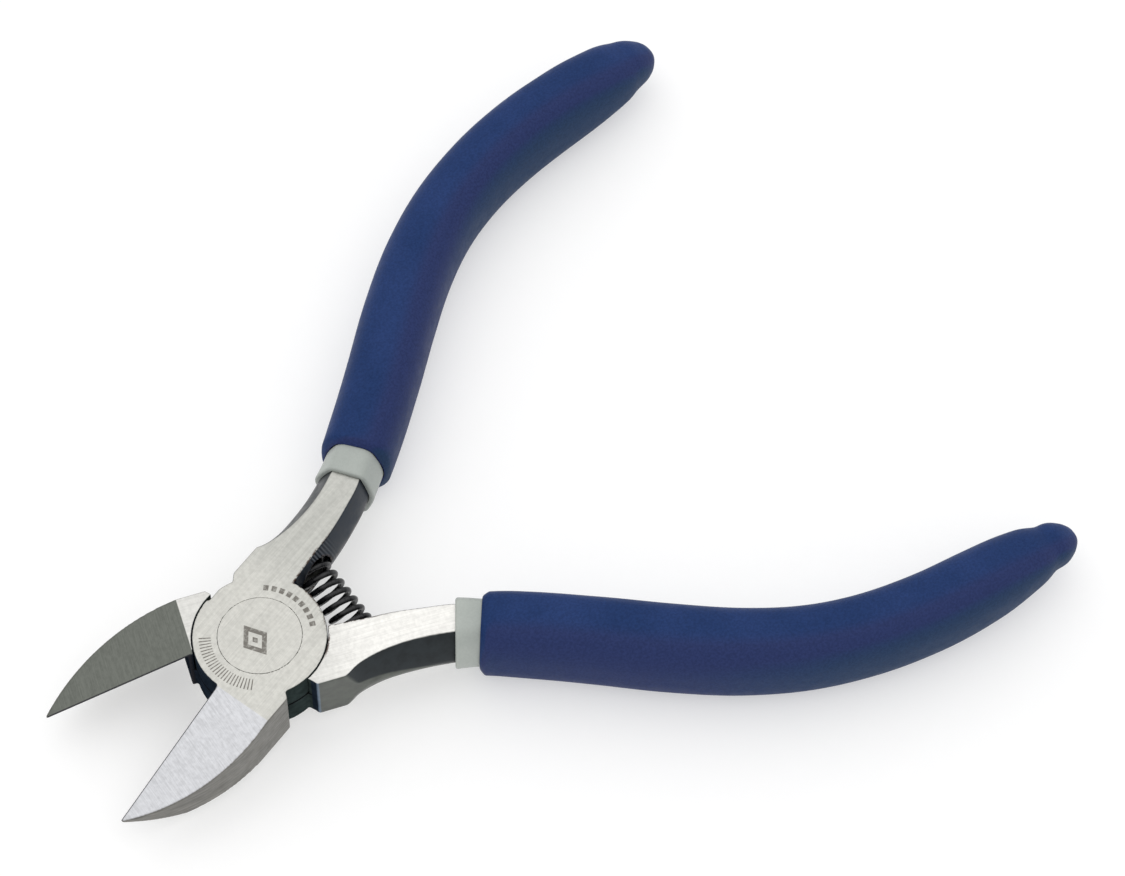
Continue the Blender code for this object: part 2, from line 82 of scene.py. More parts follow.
# Joint and jaws, as in the CAD part
JOINT_THICKNESS = 8.2
MID_Z = JOINT_THICKNESS / 2
DISC_RADIUS = 8.25
RUNNING_GAP = 0.1
RIVET_GAP = 0.02
OPEN_HALF_ANGLE = math.radians(17.6)
RIVET_HEAD_RADIUS = 5.16
RIVET_SHANK_RADIUS = 3.2
RIVET_HEAD_DEPTH = 1.5
RIVET_RIM_DEPTH = 0.45
JAW_REACH = 27.3
JAW_DEPTH = 8.0
JAW_ROOT_X = -4.7
JAW_ROOT_LEAN = 0.7
JAW_BACK_START_X = -9.3
JAW_TIP_BLUNT = 0.35
CUTTING_GAP = 0.06
JAW_FACE_START_X = -8.4
JAW_FACE_SLOPE = math.radians(16.9)
EDGE_LAND = 0.12
RELIEF_ANGLE = math.radians(36)
RELIEF_START_X = -9.0
UNDERSIDE_START_X = -21.2
UNDERSIDE_SLOPE = math.radians(19)
SHOULDER_ANGLE = math.radians(62.5)
SHOULDER_X = 4.85
SHOULDER_Y = {1: 8.0, -1: 8.55}
SHOULDER_SPARE = 0.35
SHOULDER_GRIND_END_X = 15.0
TANG_START_X = 8.0

# Handle centre line: distance from the pivot, offset from the X axis, direction that sections face
CENTRE_LINE = (
    (6.6, 4.85, 0), (8.2, 4.85, 0), (10, 4.62, 0), (13, 4.45, 0), (16, 4.5, 2), (20, 4.95, 8),
    (23.5, 5.6, 14), (27.5, 6.7, 19), (32, 8.4, 22.5), (40, 11.8, 24.5), (48, 15.4, 23), (56, 18.5, 17.5),
    (64, 20.5, 9), (72, 21.1, 0), (80, 20.5, -8), (88, 18.95, -13), (95, 17.2, -14), (103, 15.2, -14),
)
# Tang sections: distance, inner side's flat and mid offsets, outer side's, and how square each side is
TANG_SECTIONS = (
    (6.6, 3.3, 3.3, 3.85, 3.85, 12, 6),
    (8.2, 3.62, 3.65, 3.7, 4.1, 12, 3),
    (9.0, 3.45, 3.65, 3.4, 4.2, 3.5, 1.7),
    (10.0, 3.2, 3.7, 2.9, 4.15, 2.2, 1.5),
    (11.5, 2.95, 3.7, 2.45, 4.0, 1.7, 1.45),
    (13.0, 2.75, 3.7, 2.15, 3.85, 1.5, 1.4),
    (16.0, 2.6, 3.65, 1.75, 3.75, 1.4, 1.4),
    (20.0, 2.4, 3.55, 1.45, 3.55, 1.4, 1.4),
    (23.5, 2.3, 3.4, 1.4, 3.4, 1.4, 1.4),
    (27.0, 1.6, 2.9, 1.3, 2.9, 1.6, 1.6),
    (32.0, 1.2, 2.5, 1.2, 2.5, 1.8, 1.8),
    (60.0, 1.1, 2.4, 1.1, 2.4, 1.8, 1.8),
    (86.0, 0.8, 2.0, 0.8, 2.0, 1.8, 1.8),
    (93.0, 0.4, 1.0, 0.4, 1.0, 1.8, 1.8),
)
TANG_THICKNESS = (
    (6.6, 4.5), (24, 4.5), (28, 4.2), (33, 3.8), (60, 3.6), (86, 3.0), (93, 1.6),
)
TANG_END_X = 93.0

# Coats
LINER_FRONT_X = {1: 23.9, -1: 23.3}
LINER_END_X = 94.8
LINER_GROWTH = {
    1: ((20, 0.6), (24.5, 0.7), (27.5, 0.98), (32, 1.1), (100, 1.0)),
    -1: ((20, 0.82), (25, 0.9), (27.5, 1.03), (32, 1.1), (100, 1.0)),
}
LINER_LIP = 0.32
LINER_SOFTNESS = 0.35
COAT_GAP = 0.05
CAVITY_BACK_X = 93.6
SLEEVE_FRONT_X = {1: 27.4, -1: 26.4}
SLEEVE_SECTIONS = (
    (26.4, 4.5, 6.15, 0), (30, 4.62, 6.35, 0), (38, 4.74, 6.4, 0), (46, 4.82, 6.45, 0), (54, 4.74, 6.5, 0),
    (62, 4.58, 6.5, 0), (70, 4.5, 6.4, 0), (78, 4.5, 6.35, 0), (86, 4.45, 6.1, 0.1), (91, 4.33, 5.5, 0.2),
    (94, 4.14, 4.86, 0.26), (96, 3.95, 4.38, 0.33), (97.2, 3.72, 4.04, 0.46), (98.4, 3.34, 3.6, 0.54),
    (99.5, 3.08, 3.35, 0.7), (100.5, 2.79, 3.02, 0.98), (101.3, 2.42, 2.64, 1.2), (102.2, 1.82, 2.03, 1.4),
    (102.8, 1.12, 1.28, 1.5), (103.1, 0.45, 0.52, 1.55),
)
# How much thinner each sleeve is than its table of sections, towards its tip
TIP_THINNING = {
    1: ((86, 0.0), (93, -0.1), (103.1, -0.1)),
    -1: ((86, 0.0), (92, 0.13), (96, 0.34), (98.2, 0.46), (99.8, 0.2), (103.1, 0.12)),
}
SLEEVE_SQUARENESS = 2.5
SLEEVE_CROWN = 0.985
SLEEVE_LIP = 0.36
SLEEVE_HUG = 0.5
SLEEVE_HUG_LENGTH = 0.8
LIP_STEPS = 8
SLEEVE_CAVITY_END_X = 95.6
LIP_LEAN = 4.0
LIP_LEAN_FADE = 14.0
HANDLE_SKEW = 0.006
HANDLE_SKEW_ABOUT_X = 62.0
HANDLE_SKEW_FROM_X = 18.0
HANDLE_SKEW_FULL_X = 30.0
TIP_SHIFT = {1: 0.6, -1: -0.8}
TIP_SHIFT_FROM_X = 80.0
SLEEVE_END_X = 103.1
TIP_LENGTH = 11.0
TIP_STATIONS = 40
TIP_JOIN = 0.5

# Return spring
SPRING_X = 11.3
SPRING_WIRE = 0.72
SPRING_DIAMETER = 4.8
SPRING_PITCH = 1.47
SPRING_SEAT_Y = 8.0
SPRING_END_PITCH = 0.8
SPRING_LEAN = 0.26
SPRING_POINTS_PER_TURN = 40
POCKET_CLEARANCE = 0.3

# Fineness of the meshes
SECTION_LEVELS = 28
LEVEL_SPREAD = math.radians(80)
ROUND_STEPS = 240
STATION_STEP = 0.4
VOXEL = 0.13
EDGE_SMOOTHING_STEPS = 4
EDGE_ANGLE = math.radians(12)
EDGE_SMOOTHING_SHARE = 0.5
RIVET_SEAT_GUARD = 0.5
STEEL_TRIANGLES = 190000
JAW_BACK_STEPS = 80
DISC_OUTER_STEPS = 90
DISC_INNER_STEPS = 100
TANG_FINE_END_X = 34.0
TANG_COARSE_START_X = 35.0
TANG_COARSE_STEP = 2.0
LINER_STEP = 0.5
SLEEVE_STEP = 0.8
SLEEVE_LIP_STEP = 0.2
CAVITY_STEP = 1.0
CAVITY_SOFTNESS = 0.01
RING_POINTS = 96
WIRE_POINTS = 16
WIRE_END_TAPER = 0.8
SHARP_ANGLE = math.radians(50)
WELD_DISTANCE = 0.01
GRIND_MARGIN = 0.6
BIG = 60.0

# Colours of the steel, many of them painted light or shade
# Painted light: the same ground flats get their own lightness on each half, and the tangs' flats differ
# most, lighter on the lower half
FLAT_COLOUR_WITH_PAINTED_LIGHT = {1: (0.53, 0.525, 0.49), -1: (0.60, 0.595, 0.57)}
TANG_FLAT_PAINTED_LIGHT = {1: (0.46, 0.46, 0.43), -1: (0.75, 0.74, 0.71)}
# Painted light: the upper jaw face is painted lit and the lower one painted shaded, as the two faces tilt
# differently to the light
JAW_FACE_PAINTED_LIT = (0.555, 0.56, 0.58)
JAW_FACE_PAINTED_SHADED = (0.14, 0.148, 0.132)
# Painted shade: the upright sides are painted darker than their steel, the forged sides on top of their own
# black oxide
JAW_WALL_PAINTED_SHADE = (0.17, 0.165, 0.15)
FORGED_BLACK_AND_PAINTED_SHADE = (0.018, 0.023, 0.026)
SHOULDER_PAINTED_SHADE = (0.10, 0.108, 0.096)
# Painted shade, near black, in the spring's pocket and in the gap between the discs
POCKET_AND_SEAM_PAINTED_SHADE = (0.008, 0.008, 0.009)
# Painted shade in the throat, on the shoulder's end wall and on the disc walls near the jaws' line
THROAT_AND_SHOULDER_END_PAINTED_SHADE = (0.014, 0.021, 0.032)
# Painted shade on the discs' round walls, recessed between the halves
DISC_WALL_PAINTED_SHADE = (0.030, 0.042, 0.041)
# Painted highlight: a bluish line on the shoulder's upright corner
CORNER_PAINTED_HIGHLIGHT = (0.16, 0.22, 0.30)
# Painted shade: a dark strip along the cutting edge
CUTTING_EDGE_PAINTED_SHADE = (0.03, 0.03, 0.036)
# Bright edges: partly wear through the oxide and partly painted highlight
EDGE_WEAR_AND_PAINTED_HIGHLIGHT = (0.42, 0.45, 0.48)
RUST_COLOUR = (0.045, 0.02, 0.012)
ETCH_COLOUR = (0.10, 0.09, 0.078)

# How strongly a tint covers the steel under it: painted shade, painted highlight, wear with painted
# highlight, rust and etching
POCKET_SHADE_SHARE = 0.8
CORNER_HIGHLIGHT_SHARE = 0.7
WEAR_AND_HIGHLIGHT_SHARE = 0.6
RUST_SHARE = 0.9
CUTTING_EDGE_SHADE_SHARE = 0.9
ETCH_SHARE = 0.85

# Colours of the coats, the wire and the table, from dark to light, and the painted light tints of the
# sleeves' flanks
GREY_COLOURS = ((0.36, 0.39, 0.365), (0.42, 0.45, 0.42))
BLUE_COLOURS = ((0.015, 0.036, 0.118), (0.020, 0.043, 0.138))
# Painted light: tints of the blue sleeves where they turn towards -Y
BLUE_FLANK_PAINTED_LIGHT = ((0.025, 0.038, 0.118), (0.020, 0.044, 0.102))
WIRE_COLOURS = ((0.008, 0.008, 0.009), (0.03, 0.03, 0.032))
FLOOR_COLOURS = ((0.59, 0.59, 0.59), (0.61, 0.61, 0.61))
GREY_SPECKLE = 0.03
BLUE_SPECKLE = 0.14

# Regions of a forging in its closed position, in millimetres: where each mask starts and ends its rise
# or fall, or its rise and its fall
# Where the tangs' painted flat lightness takes over from the joint's
TANG_FLAT_X = (3, 13)
JAW_FACE_X = (JAW_FACE_START_X - 0.05, JAW_FACE_START_X + 0.05)
OFF_RIVET_RADIUS = (5.6, 5.7)
BETWEEN_DISCS_Z = (0.6, 0.8, JOINT_THICKNESS - 0.8, JOINT_THICKNESS - 0.6)
BETWEEN_DISCS_RADIUS = (DISC_RADIUS + 0.6, DISC_RADIUS + 0.7)
DISC_WALL_RADIUS = (DISC_RADIUS + 0.5, DISC_RADIUS + 0.6)
ROUND_WALL_Y = (4, 6)
# Where painted shade darkens the gap between the two discs
SEAM_Z = (MID_Z - 0.24, MID_Z - 0.12, MID_Z + 0.12, MID_Z + 0.24)
INNER_SIDE_X = (-13, -11)
INNER_SIDE_Y = (3.2, 3.8)
ROOT_X = (-13, -11, 2, 4)
ROOT_Y = (4.8, 5.4)
JAW_WALL_X = (-4.4, -4.1)
SHOULDER_END_X = (2, 3, SHOULDER_X, SHOULDER_X + 0.6)
# Where the painted highlight runs on the shoulder's corner
CORNER_X = (SHOULDER_X - 0.22, SHOULDER_X - 0.12, SHOULDER_X + 0.08, SHOULDER_X + 0.18)
CORNER_Y = (7, 7.5)
GROUND_FROM_X = (4.7, 4.9)
GROUND_Y = (4, 5)
RIDGE_SLOPE = 0.14
RIDGE_Z = (6.5, 6.9)
GROUND_END_SLOPE = 0.47
GROUND_END_X = (12.0, 12.6)
# Where painted shade darkens the side by the spring's pocket
POCKET_X = (4, 6, 11.5, 15)
POCKET_Y = (4.6, 5.6)
RUST_X = (5, 6.5, 12, 19)
RUST_Y = (4.5, 5.5)
# Where painted shade runs along the cutting edge
CUTTING_EDGE_X = (JAW_FACE_START_X - 0.4, JAW_FACE_START_X)
CUTTING_EDGE_Y = (0.2, 0.3)
MILLED_X = (11.5, 12.5, 14.5, 16.5)
MILLED_Y = (4, 5)
MILLED_LEAN = 0.25
MILLED_PER_METRE = 13000.0
MILLED_DEPTH = 2.0

# How far surfaces face up, along X or along Y where masks change
STEEP_TILT = (0.6, 0.93)
WORN_TILT = (0.97, 0.99)
JAW_FACE_UP = (0.0, 0.3)
SHOULDER_END_FACING = (-0.7, -0.4)
# Where the sleeves' painted light tints change, by which way the skin faces along Y
CREST_FACING = (-0.7, -0.4)
CREST_SOFT = 0.4
SIDE_FACING = (-0.7, -0.97)

# How far edges stand out where they are worn and carry a painted highlight, and where they are rusted
WORN_CONVEX = (0.22, 0.42)
WEAR_UNEVENNESS = 0.1
RUST_CONVEX = (0.01, 0.08)

# Noise: cells per metre, along X, Y and Z or along all three
FINE_GRAIN_CELLS = (180, 9000, 3000)
BROAD_GRAIN_CELLS = (90, 2600, 900)
GRAIN_PATCH_CELLS = (140, 260, 200)
SPECKLE_CELLS = (2200, 1500, 1500)
CROSS_GRAIN_CELLS = (6000, 300, 300)
BRUSHED_CELLS = (260, 260, 4200)
MOTTLE_CELLS = 700
RUST_CELLS = 1700
ETCH_CELLS = 2500
VINYL_CLOUD_CELLS = 90
VINYL_SKIN_CELLS = 700
VINYL_RIPPLE_CELLS = 160
VINYL_SPECKLE_CELLS = 3600
SCRATCH_CELLS = (2600, 700, 2600)
FLOOR_CELLS = 400

# Noise: the range that counts, and for some the range that it is turned into
NOISE_RANGE = (0.3, 0.7)
CLOUD_SPREAD = (0.35, 0.65)
RUST_SPREAD = (0.42, 0.58)
ETCH_WEAR = (0.3, 0.55, 0.6, 1.0)
FLAT_CONTRAST = (0.33, 0.67, 0.86, 1.1)
SPECKLE_CONTRAST = (0.3, 0.7, 0.94, 1.06)
FACE_CONTRAST = (0.34, 0.66, 0.82, 1.16)
WALL_CONTRAST = (0.3, 0.7, 0.75, 1.28)
GROUND_ROUGHNESS = (0.3, 0.7, 0.3, 0.46)
WALL_ROUGHNESS = (0.3, 0.7, 0.34, 0.5)
WALL_METALLIC = 0.55

# Relief: the depth of each surface's bumps in millimetres, and the ground faces' share of it
STEEL_BUMP = 0.04
VINYL_BUMP = 0.1
WIRE_BUMP = 0.02
GROUND_HEIGHT = 0.35

# Etched marks: middle direction and half spread of each row, how many marks it has, how much of it they
# fill and their radii; the diamond's place and sizes; and how soft the marks are
RIM_TICKS_AT = math.radians(8)
RIM_TICKS_SPREAD = math.radians(42)
RIM_TICKS = 24
TICK_SHARE = 0.36
TICK_RADII = (6.0, 7.4)
RIM_DASHES_AT = math.radians(14)
RIM_DASHES_SPREAD = math.radians(40)
RIM_DASHES = 9
DASH_SHARE = 0.62
DASH_RADII = (6.25, 6.9)
DIAMOND_X = -0.8
DIAMOND_Y = -0.2
DIAMOND_SIZE = 1.7
DIAMOND_HOLE = 1.054
DIAMOND_DOT = 0.34
DIAMOND_SQUASH = 0.7
MARK_SOFT = 0.08
MARK_SIDE_SOFT = 0.04
ROW_END_SOFT = 0.001
ETCH_Z = (JOINT_THICKNESS - 0.2, JOINT_THICKNESS - 0.1)

# Light and table, in metres and watts
TOP_DIRECTION = Vector((0.1, 0.25, 1.0))
TOP_DISTANCE = 0.8
TOP_SIZE = 1.6
TOP_POWER = 4.6
WORLD_STRENGTH = 0.76
FLOOR_HALF_SIZE = 1.5
FLOOR_GLOW = 0.42


def ease(t):
    """A smooth step from 0 at t = 0 to 1 at t = 1."""
    t = min(max(t, 0.0), 1.0)
    return t * t * (3 - 2 * t)


def smooth_row(table, x):
    """The table's other columns at x, on a smooth curve through its rows."""
    rows = np.array(table, dtype=float)
    xs = rows[:, 0]
    values = rows[:, 1:]
    slopes = np.gradient(values, xs, axis=0)
    near = int(np.clip(np.searchsorted(xs, x) - 1, 0, len(xs) - 2))
    far = near + 1
    span = xs[far] - xs[near]
    t = min(max((x - xs[near]) / span, 0.0), 1.0)
    start = (2 * t ** 3 - 3 * t ** 2 + 1) * values[near] + (t ** 3 - 2 * t ** 2 + t) * span * slopes[near]
    end = (3 * t ** 2 - 2 * t ** 3) * values[far] + (t ** 3 - t ** 2) * span * slopes[far]
    return start + end


def arc_points(centre, radius, start, end, steps):
    """Points along an arc, from the start angle to the end angle, both included."""
    angles = [start + (end - start) * i / steps for i in range(steps + 1)]
    return [(centre[0] + radius * math.cos(a), centre[1] + radius * math.sin(a)) for a in angles]


def turn(side):
    """The turn about the pivot from the closed to the open position."""
    return Matrix.Rotation(side * OPEN_HALF_ANGLE, 4, "Z")


def link(name, data):
    """An object with a mesh, light or camera, in the scene."""
    item = bpy.data.objects.new(name, data)
    bpy.context.scene.collection.objects.link(item)
    return item


def finished(name, work):
    """An object with the mesh that was worked on."""
    mesh = bpy.data.meshes.new(name)
    work.to_mesh(mesh)
    work.free()
    return link(name, mesh)


def tidy_mesh(item):
    """Weld a mesh and turn its faces outwards."""
    work = bmesh.new()
    work.from_mesh(item.data)
    bmesh.ops.remove_doubles(work, verts=work.verts, dist=WELD_DISTANCE * MM)
    bmesh.ops.recalc_face_normals(work, faces=work.faces)
    work.to_mesh(item.data)
    work.free()


def plate(name, outline, low, high):
    """A flat outline, extruded between two heights, as a closed mesh."""
    work = bmesh.new()
    bottom = work.faces.new([work.verts.new(Vector((x, y, low)) * MM) for x, y in outline])
    grown = bmesh.ops.extrude_face_region(work, geom=[bottom])["geom"]
    verts = [v for v in grown if isinstance(v, bmesh.types.BMVert)]
    bmesh.ops.translate(work, verts=verts, vec=(0, 0, (high - low) * MM))
    bmesh.ops.triangulate(work, faces=work.faces)
    bmesh.ops.recalc_face_normals(work, faces=work.faces)
    return finished(name, work)


def loft(name, rings):
    """One closed solid through a row of rings with equal numbers of points, capped at both ends."""
    work = bmesh.new()
    rows = [[work.verts.new(Vector(point) * MM) for point in ring] for ring in rings]
    count = len(rings[0])
    for near, far in zip(rows, rows[1:]):
        for i in range(count):
            j = (i + 1) % count
            work.faces.new((near[i], near[j], far[j], far[i]))
    work.faces.new(rows[0])
    work.faces.new(reversed(rows[-1]))
    bmesh.ops.recalc_face_normals(work, faces=work.faces)
    return finished(name, work)


def apply_modifiers(item):
    """Turn an object's modifiers into its mesh."""
    bpy.context.view_layer.update()
    evaluated = item.evaluated_get(bpy.context.evaluated_depsgraph_get())
    mesh = bpy.data.meshes.new_from_object(evaluated)
    item.modifiers.clear()
    item.data = mesh


def combine(item, other, operation):
    """Join another solid to this one, or cut it away, apply the result and drop the other solid."""
    modifier = item.modifiers.new(operation.lower(), "BOOLEAN")
    modifier.operation = operation
    modifier.object = other
    apply_modifiers(item)
    bpy.data.objects.remove(other)


def cut(item, cutter):
    """Cut another solid away from this one."""
    combine(item, cutter, "DIFFERENCE")


def box_cutter(low, high, placement=Matrix.Identity(4)):
    """A box between two corners, moved by a matrix in millimetres."""
    work = bmesh.new()
    size = [b - a for a, b in zip(low, high)]
    middle = [(a + b) / 2 for a, b in zip(low, high)]
    bmesh.ops.create_cube(work, size=1.0)
    matrix = placement @ Matrix.Translation(middle) @ Matrix.Diagonal((*size, 1.0))
    bmesh.ops.transform(work, matrix=Matrix.Scale(MM, 4) @ matrix, verts=work.verts)
    return finished("box_cutter", work)


def cylinder_cutter(radius, depth, placement):
    """A cylinder about the local Z axis, centred on the placement, which is in millimetres."""
    work = bmesh.new()
    bmesh.ops.create_cone(work, cap_ends=True, segments=ROUND_STEPS, radius1=radius, radius2=radius,
                          depth=depth)
    bmesh.ops.transform(work, matrix=Matrix.Scale(MM, 4) @ placement, verts=work.verts)
    return finished("cylinder_cutter", work)


def turned(name, profile):
    """A solid of revolution about Z. The profile runs down its outer side, from top to bottom."""
    angles = [2 * math.pi * i / ROUND_STEPS for i in range(ROUND_STEPS)]
    return loft(name, [[(r * math.cos(a), r * math.sin(a), z) for a in angles] for r, z in profile])


def jaw_back(side):
    """The curved back of the jaw, from its root to its tip."""
    run = JAW_REACH + JAW_BACK_START_X
    rise = JAW_DEPTH - CUTTING_GAP - JAW_TIP_BLUNT
    radius = (run ** 2 + rise ** 2) / (2 * rise)
    centre = (JAW_BACK_START_X, -JAW_DEPTH + radius)
    sweep = math.asin(run / radius)
    points = arc_points(centre, radius, -math.pi / 2, -math.pi / 2 - sweep, JAW_BACK_STEPS)
    return [(x, side * y) for x, y in points]


def half_outline(side):
    """Jaw, joint disc and shoulder of one half, seen from above in the closed position."""
    edge_angle = math.pi + math.asin(CUTTING_GAP / DISC_RADIUS)
    inner_angle = math.acos(TANG_START_X / DISC_RADIUS)
    root_angle = -math.acos((JAW_ROOT_X + JAW_ROOT_LEAN) / DISC_RADIUS)
    outline = [(-JAW_REACH, -CUTTING_GAP)]
    outline += arc_points((0, 0), DISC_RADIUS, edge_angle, SHOULDER_ANGLE, DISC_OUTER_STEPS)
    lean = (SHOULDER_X - outline[-1][0]) / (SHOULDER_Y[side] - outline[-1][1])
    spare_y = SHOULDER_Y[side] + SHOULDER_SPARE
    outline += [(SHOULDER_X + lean * SHOULDER_SPARE, spare_y), (TANG_START_X, spare_y)]
    outline += arc_points((0, 0), DISC_RADIUS, inner_angle, root_angle, DISC_INNER_STEPS)
    outline += [(JAW_ROOT_X, -JAW_DEPTH)]
    return [(x, side * y) for x, y in outline] + jaw_back(side)


def section_frame(x, side, lean):
    """Centre of the handle's cross-section at x, and its outward direction."""
    y, facing = smooth_row(CENTRE_LINE, x)
    skew = ease((x - HANDLE_SKEW_FROM_X) / (HANDLE_SKEW_FULL_X - HANDLE_SKEW_FROM_X))
    y += side * skew * HANDLE_SKEW * (HANDLE_SKEW_ABOUT_X - x)
    fade = max(0.0, 1 - (x - LINER_FRONT_X[side]) / LIP_LEAN_FADE)
    x += TIP_SHIFT[side] * ease((x - TIP_SHIFT_FROM_X) / (SLEEVE_END_X - TIP_SHIFT_FROM_X))
    lean = math.radians(lean) * fade
    facing = math.radians(facing) + lean
    stretch = 1 / math.cos(lean)
    return (x, side * y), (-math.sin(facing) * stretch, side * math.cos(facing) * stretch)


def placed_ring(x, side, section, lean=LIP_LEAN):
    """A flat section of (outward offset, height) points, stood across the handle at x."""
    (cx, cy), (nx, ny) = section_frame(x, side, lean)
    return [(cx + nx * offset, cy + ny * offset, MID_Z + height) for offset, height in section]


def levels():
    """Heights from -1 to 1, closer together near the ends."""
    angles = [LEVEL_SPREAD * (2 * i / (SECTION_LEVELS - 1) - 1) for i in range(SECTION_LEVELS)]
    return [math.sin(angle) / math.sin(LEVEL_SPREAD) for angle in angles]


def tang_section(x, ground=False):
    """The tang's section. Ground down, it stops at the joint's flats; otherwise it runs past them."""
    row = smooth_row(TANG_SECTIONS, x)
    inner_flat, inner_mid, outer_flat, outer_mid, inner_power, outer_power = row
    thickness = smooth_row(TANG_THICKNESS, x)[0]
    flat = min(thickness, MID_Z)
    half = flat if ground else thickness

    def side_points(at_flat, at_mid, power):
        bulge = at_mid - at_flat
        reach = half / flat
        return [(at_flat + bulge * (1 - (abs(t) * reach) ** power), t * half) for t in levels()]

    outer = side_points(outer_flat, outer_mid, outer_power)
    inner = [(-offset, height) for offset, height in side_points(inner_flat, inner_mid, inner_power)]
    return outer + inner[::-1]


def coated_section(x, growth, softness):
    """The tang's section with a coat of even thickness, whose corners are rounded by the dipping."""
    points = np.array(tang_section(x, ground=True))
    closed = np.vstack([points, points[:1]])
    steps = np.hypot(*np.diff(closed, axis=0).T)
    along = np.concatenate([[0.0], np.cumsum(steps)])
    places = np.linspace(0, along[-1], RING_POINTS, endpoint=False)
    even = np.column_stack([np.interp(places, along, closed[:, k]) for k in (0, 1)])
    spacing = along[-1] / RING_POINTS
    gaps = np.minimum(np.arange(RING_POINTS), RING_POINTS - np.arange(RING_POINTS)) * spacing
    weights = np.exp(-(gaps / softness) ** 2 / 2)
    weights /= weights.sum()
    smooth = np.array([weights @ np.roll(even, -i, axis=0) for i in range(RING_POINTS)])
    tangent = np.roll(smooth, -1, axis=0) - np.roll(smooth, 1, axis=0)
    normal = np.column_stack([tangent[:, 1], -tangent[:, 0]])
    normal /= np.hypot(*normal.T)[:, None]
    if (normal * (smooth - smooth.mean(axis=0))).sum() < 0:
        normal = -normal
    return [tuple(point) for point in smooth + normal * growth]


def sleeve_section(x, shrink):
    """A squarish oval, lower towards the drop at the tip."""
    half_width, half_height, sink = smooth_row(SLEEVE_SECTIONS, x)
    half_height *= SLEEVE_CROWN
    points = []
    for i in range(RING_POINTS):
        angle = 2 * math.pi * i / RING_POINTS
        wide, tall = (math.copysign(abs(c) ** (2 / SLEEVE_SQUARENESS), c)
                      for c in (math.cos(angle), math.sin(angle)))
        points.append(((half_width - shrink) * wide, (half_height - shrink) * tall - sink))
    return points


def polar(points, angles):
    """A closed section's distance from its own middle line, read off at given angles."""
    points = np.array(points)
    found = np.arctan2(points[:, 1], points[:, 0])
    order = np.argsort(found)
    return np.interp(angles, found[order], np.hypot(*points[order].T), period=2 * math.pi)


def hugging_section(x, side, shrink):
    """The sleeve's section: close around the collar at its front, and a full oval further back."""
    oval = np.array(sleeve_section(x, shrink + smooth_row(TIP_THINNING[side], x)[0]))
    share = ease((x - SLEEVE_FRONT_X[side]) / SLEEVE_HUG_LENGTH)
    if share >= 1:
        return [tuple(point) for point in oval]
    angles = np.arctan2(oval[:, 1], oval[:, 0])
    growth = smooth_row(LINER_GROWTH[side], x)[0] + SLEEVE_HUG - shrink
    tight = polar(coated_section(x, growth, LINER_SOFTNESS), angles)
    radius = np.hypot(*oval.T) * share + tight * (1 - share)
    return [(r * math.cos(a), r * math.sin(a)) for r, a in zip(radius, angles)]


def stations(start, end, step):
    """Evenly spaced places from start to end, about a step apart."""
    return list(np.linspace(start, end, max(2, round((end - start) / step) + 1)))


def tang(side):
    """The handle's steel from the joint to its end inside the grip."""
    near = stations(TANG_SECTIONS[0][0], TANG_FINE_END_X, STATION_STEP)
    far = stations(TANG_COARSE_START_X, TANG_END_X, TANG_COARSE_STEP)
    return loft("tang", [placed_ring(x, side, tang_section(x), lean=0.0) for x in near + far])


def face_frame():
    """Local axes of the ground jaw face: X along the jaw and Z out of the face, at the face's start."""
    start = Matrix.Translation((JAW_FACE_START_X, 0, JOINT_THICKNESS))
    return start @ Matrix.Rotation(-JAW_FACE_SLOPE, 4, "Y")


def edge_frame(side):
    """The cutting edge as X, sheared so that planes across it stay upright."""
    shear = Matrix.Identity(4)
    shear[2][0] = math.tan(JAW_FACE_SLOPE)
    start = (JAW_FACE_START_X, -side * CUTTING_GAP, JOINT_THICKNESS - EDGE_LAND)
    return Matrix.Translation(start) @ shear


def rivet_profile(clearance):
    """Profile of the rivet, or of its seat when clearance is added to it, as radius and height."""
    head = RIVET_HEAD_RADIUS + clearance
    shank = RIVET_SHANK_RADIUS + clearance
    over = GRIND_MARGIN if clearance else 0.0
    top = JOINT_THICKNESS
    return [(head, top + over), (head, top - RIVET_RIM_DEPTH),
            (shank, top - RIVET_HEAD_DEPTH - clearance), (shank, RIVET_HEAD_DEPTH + clearance),
            (head, RIVET_RIM_DEPTH), (head, -over)]


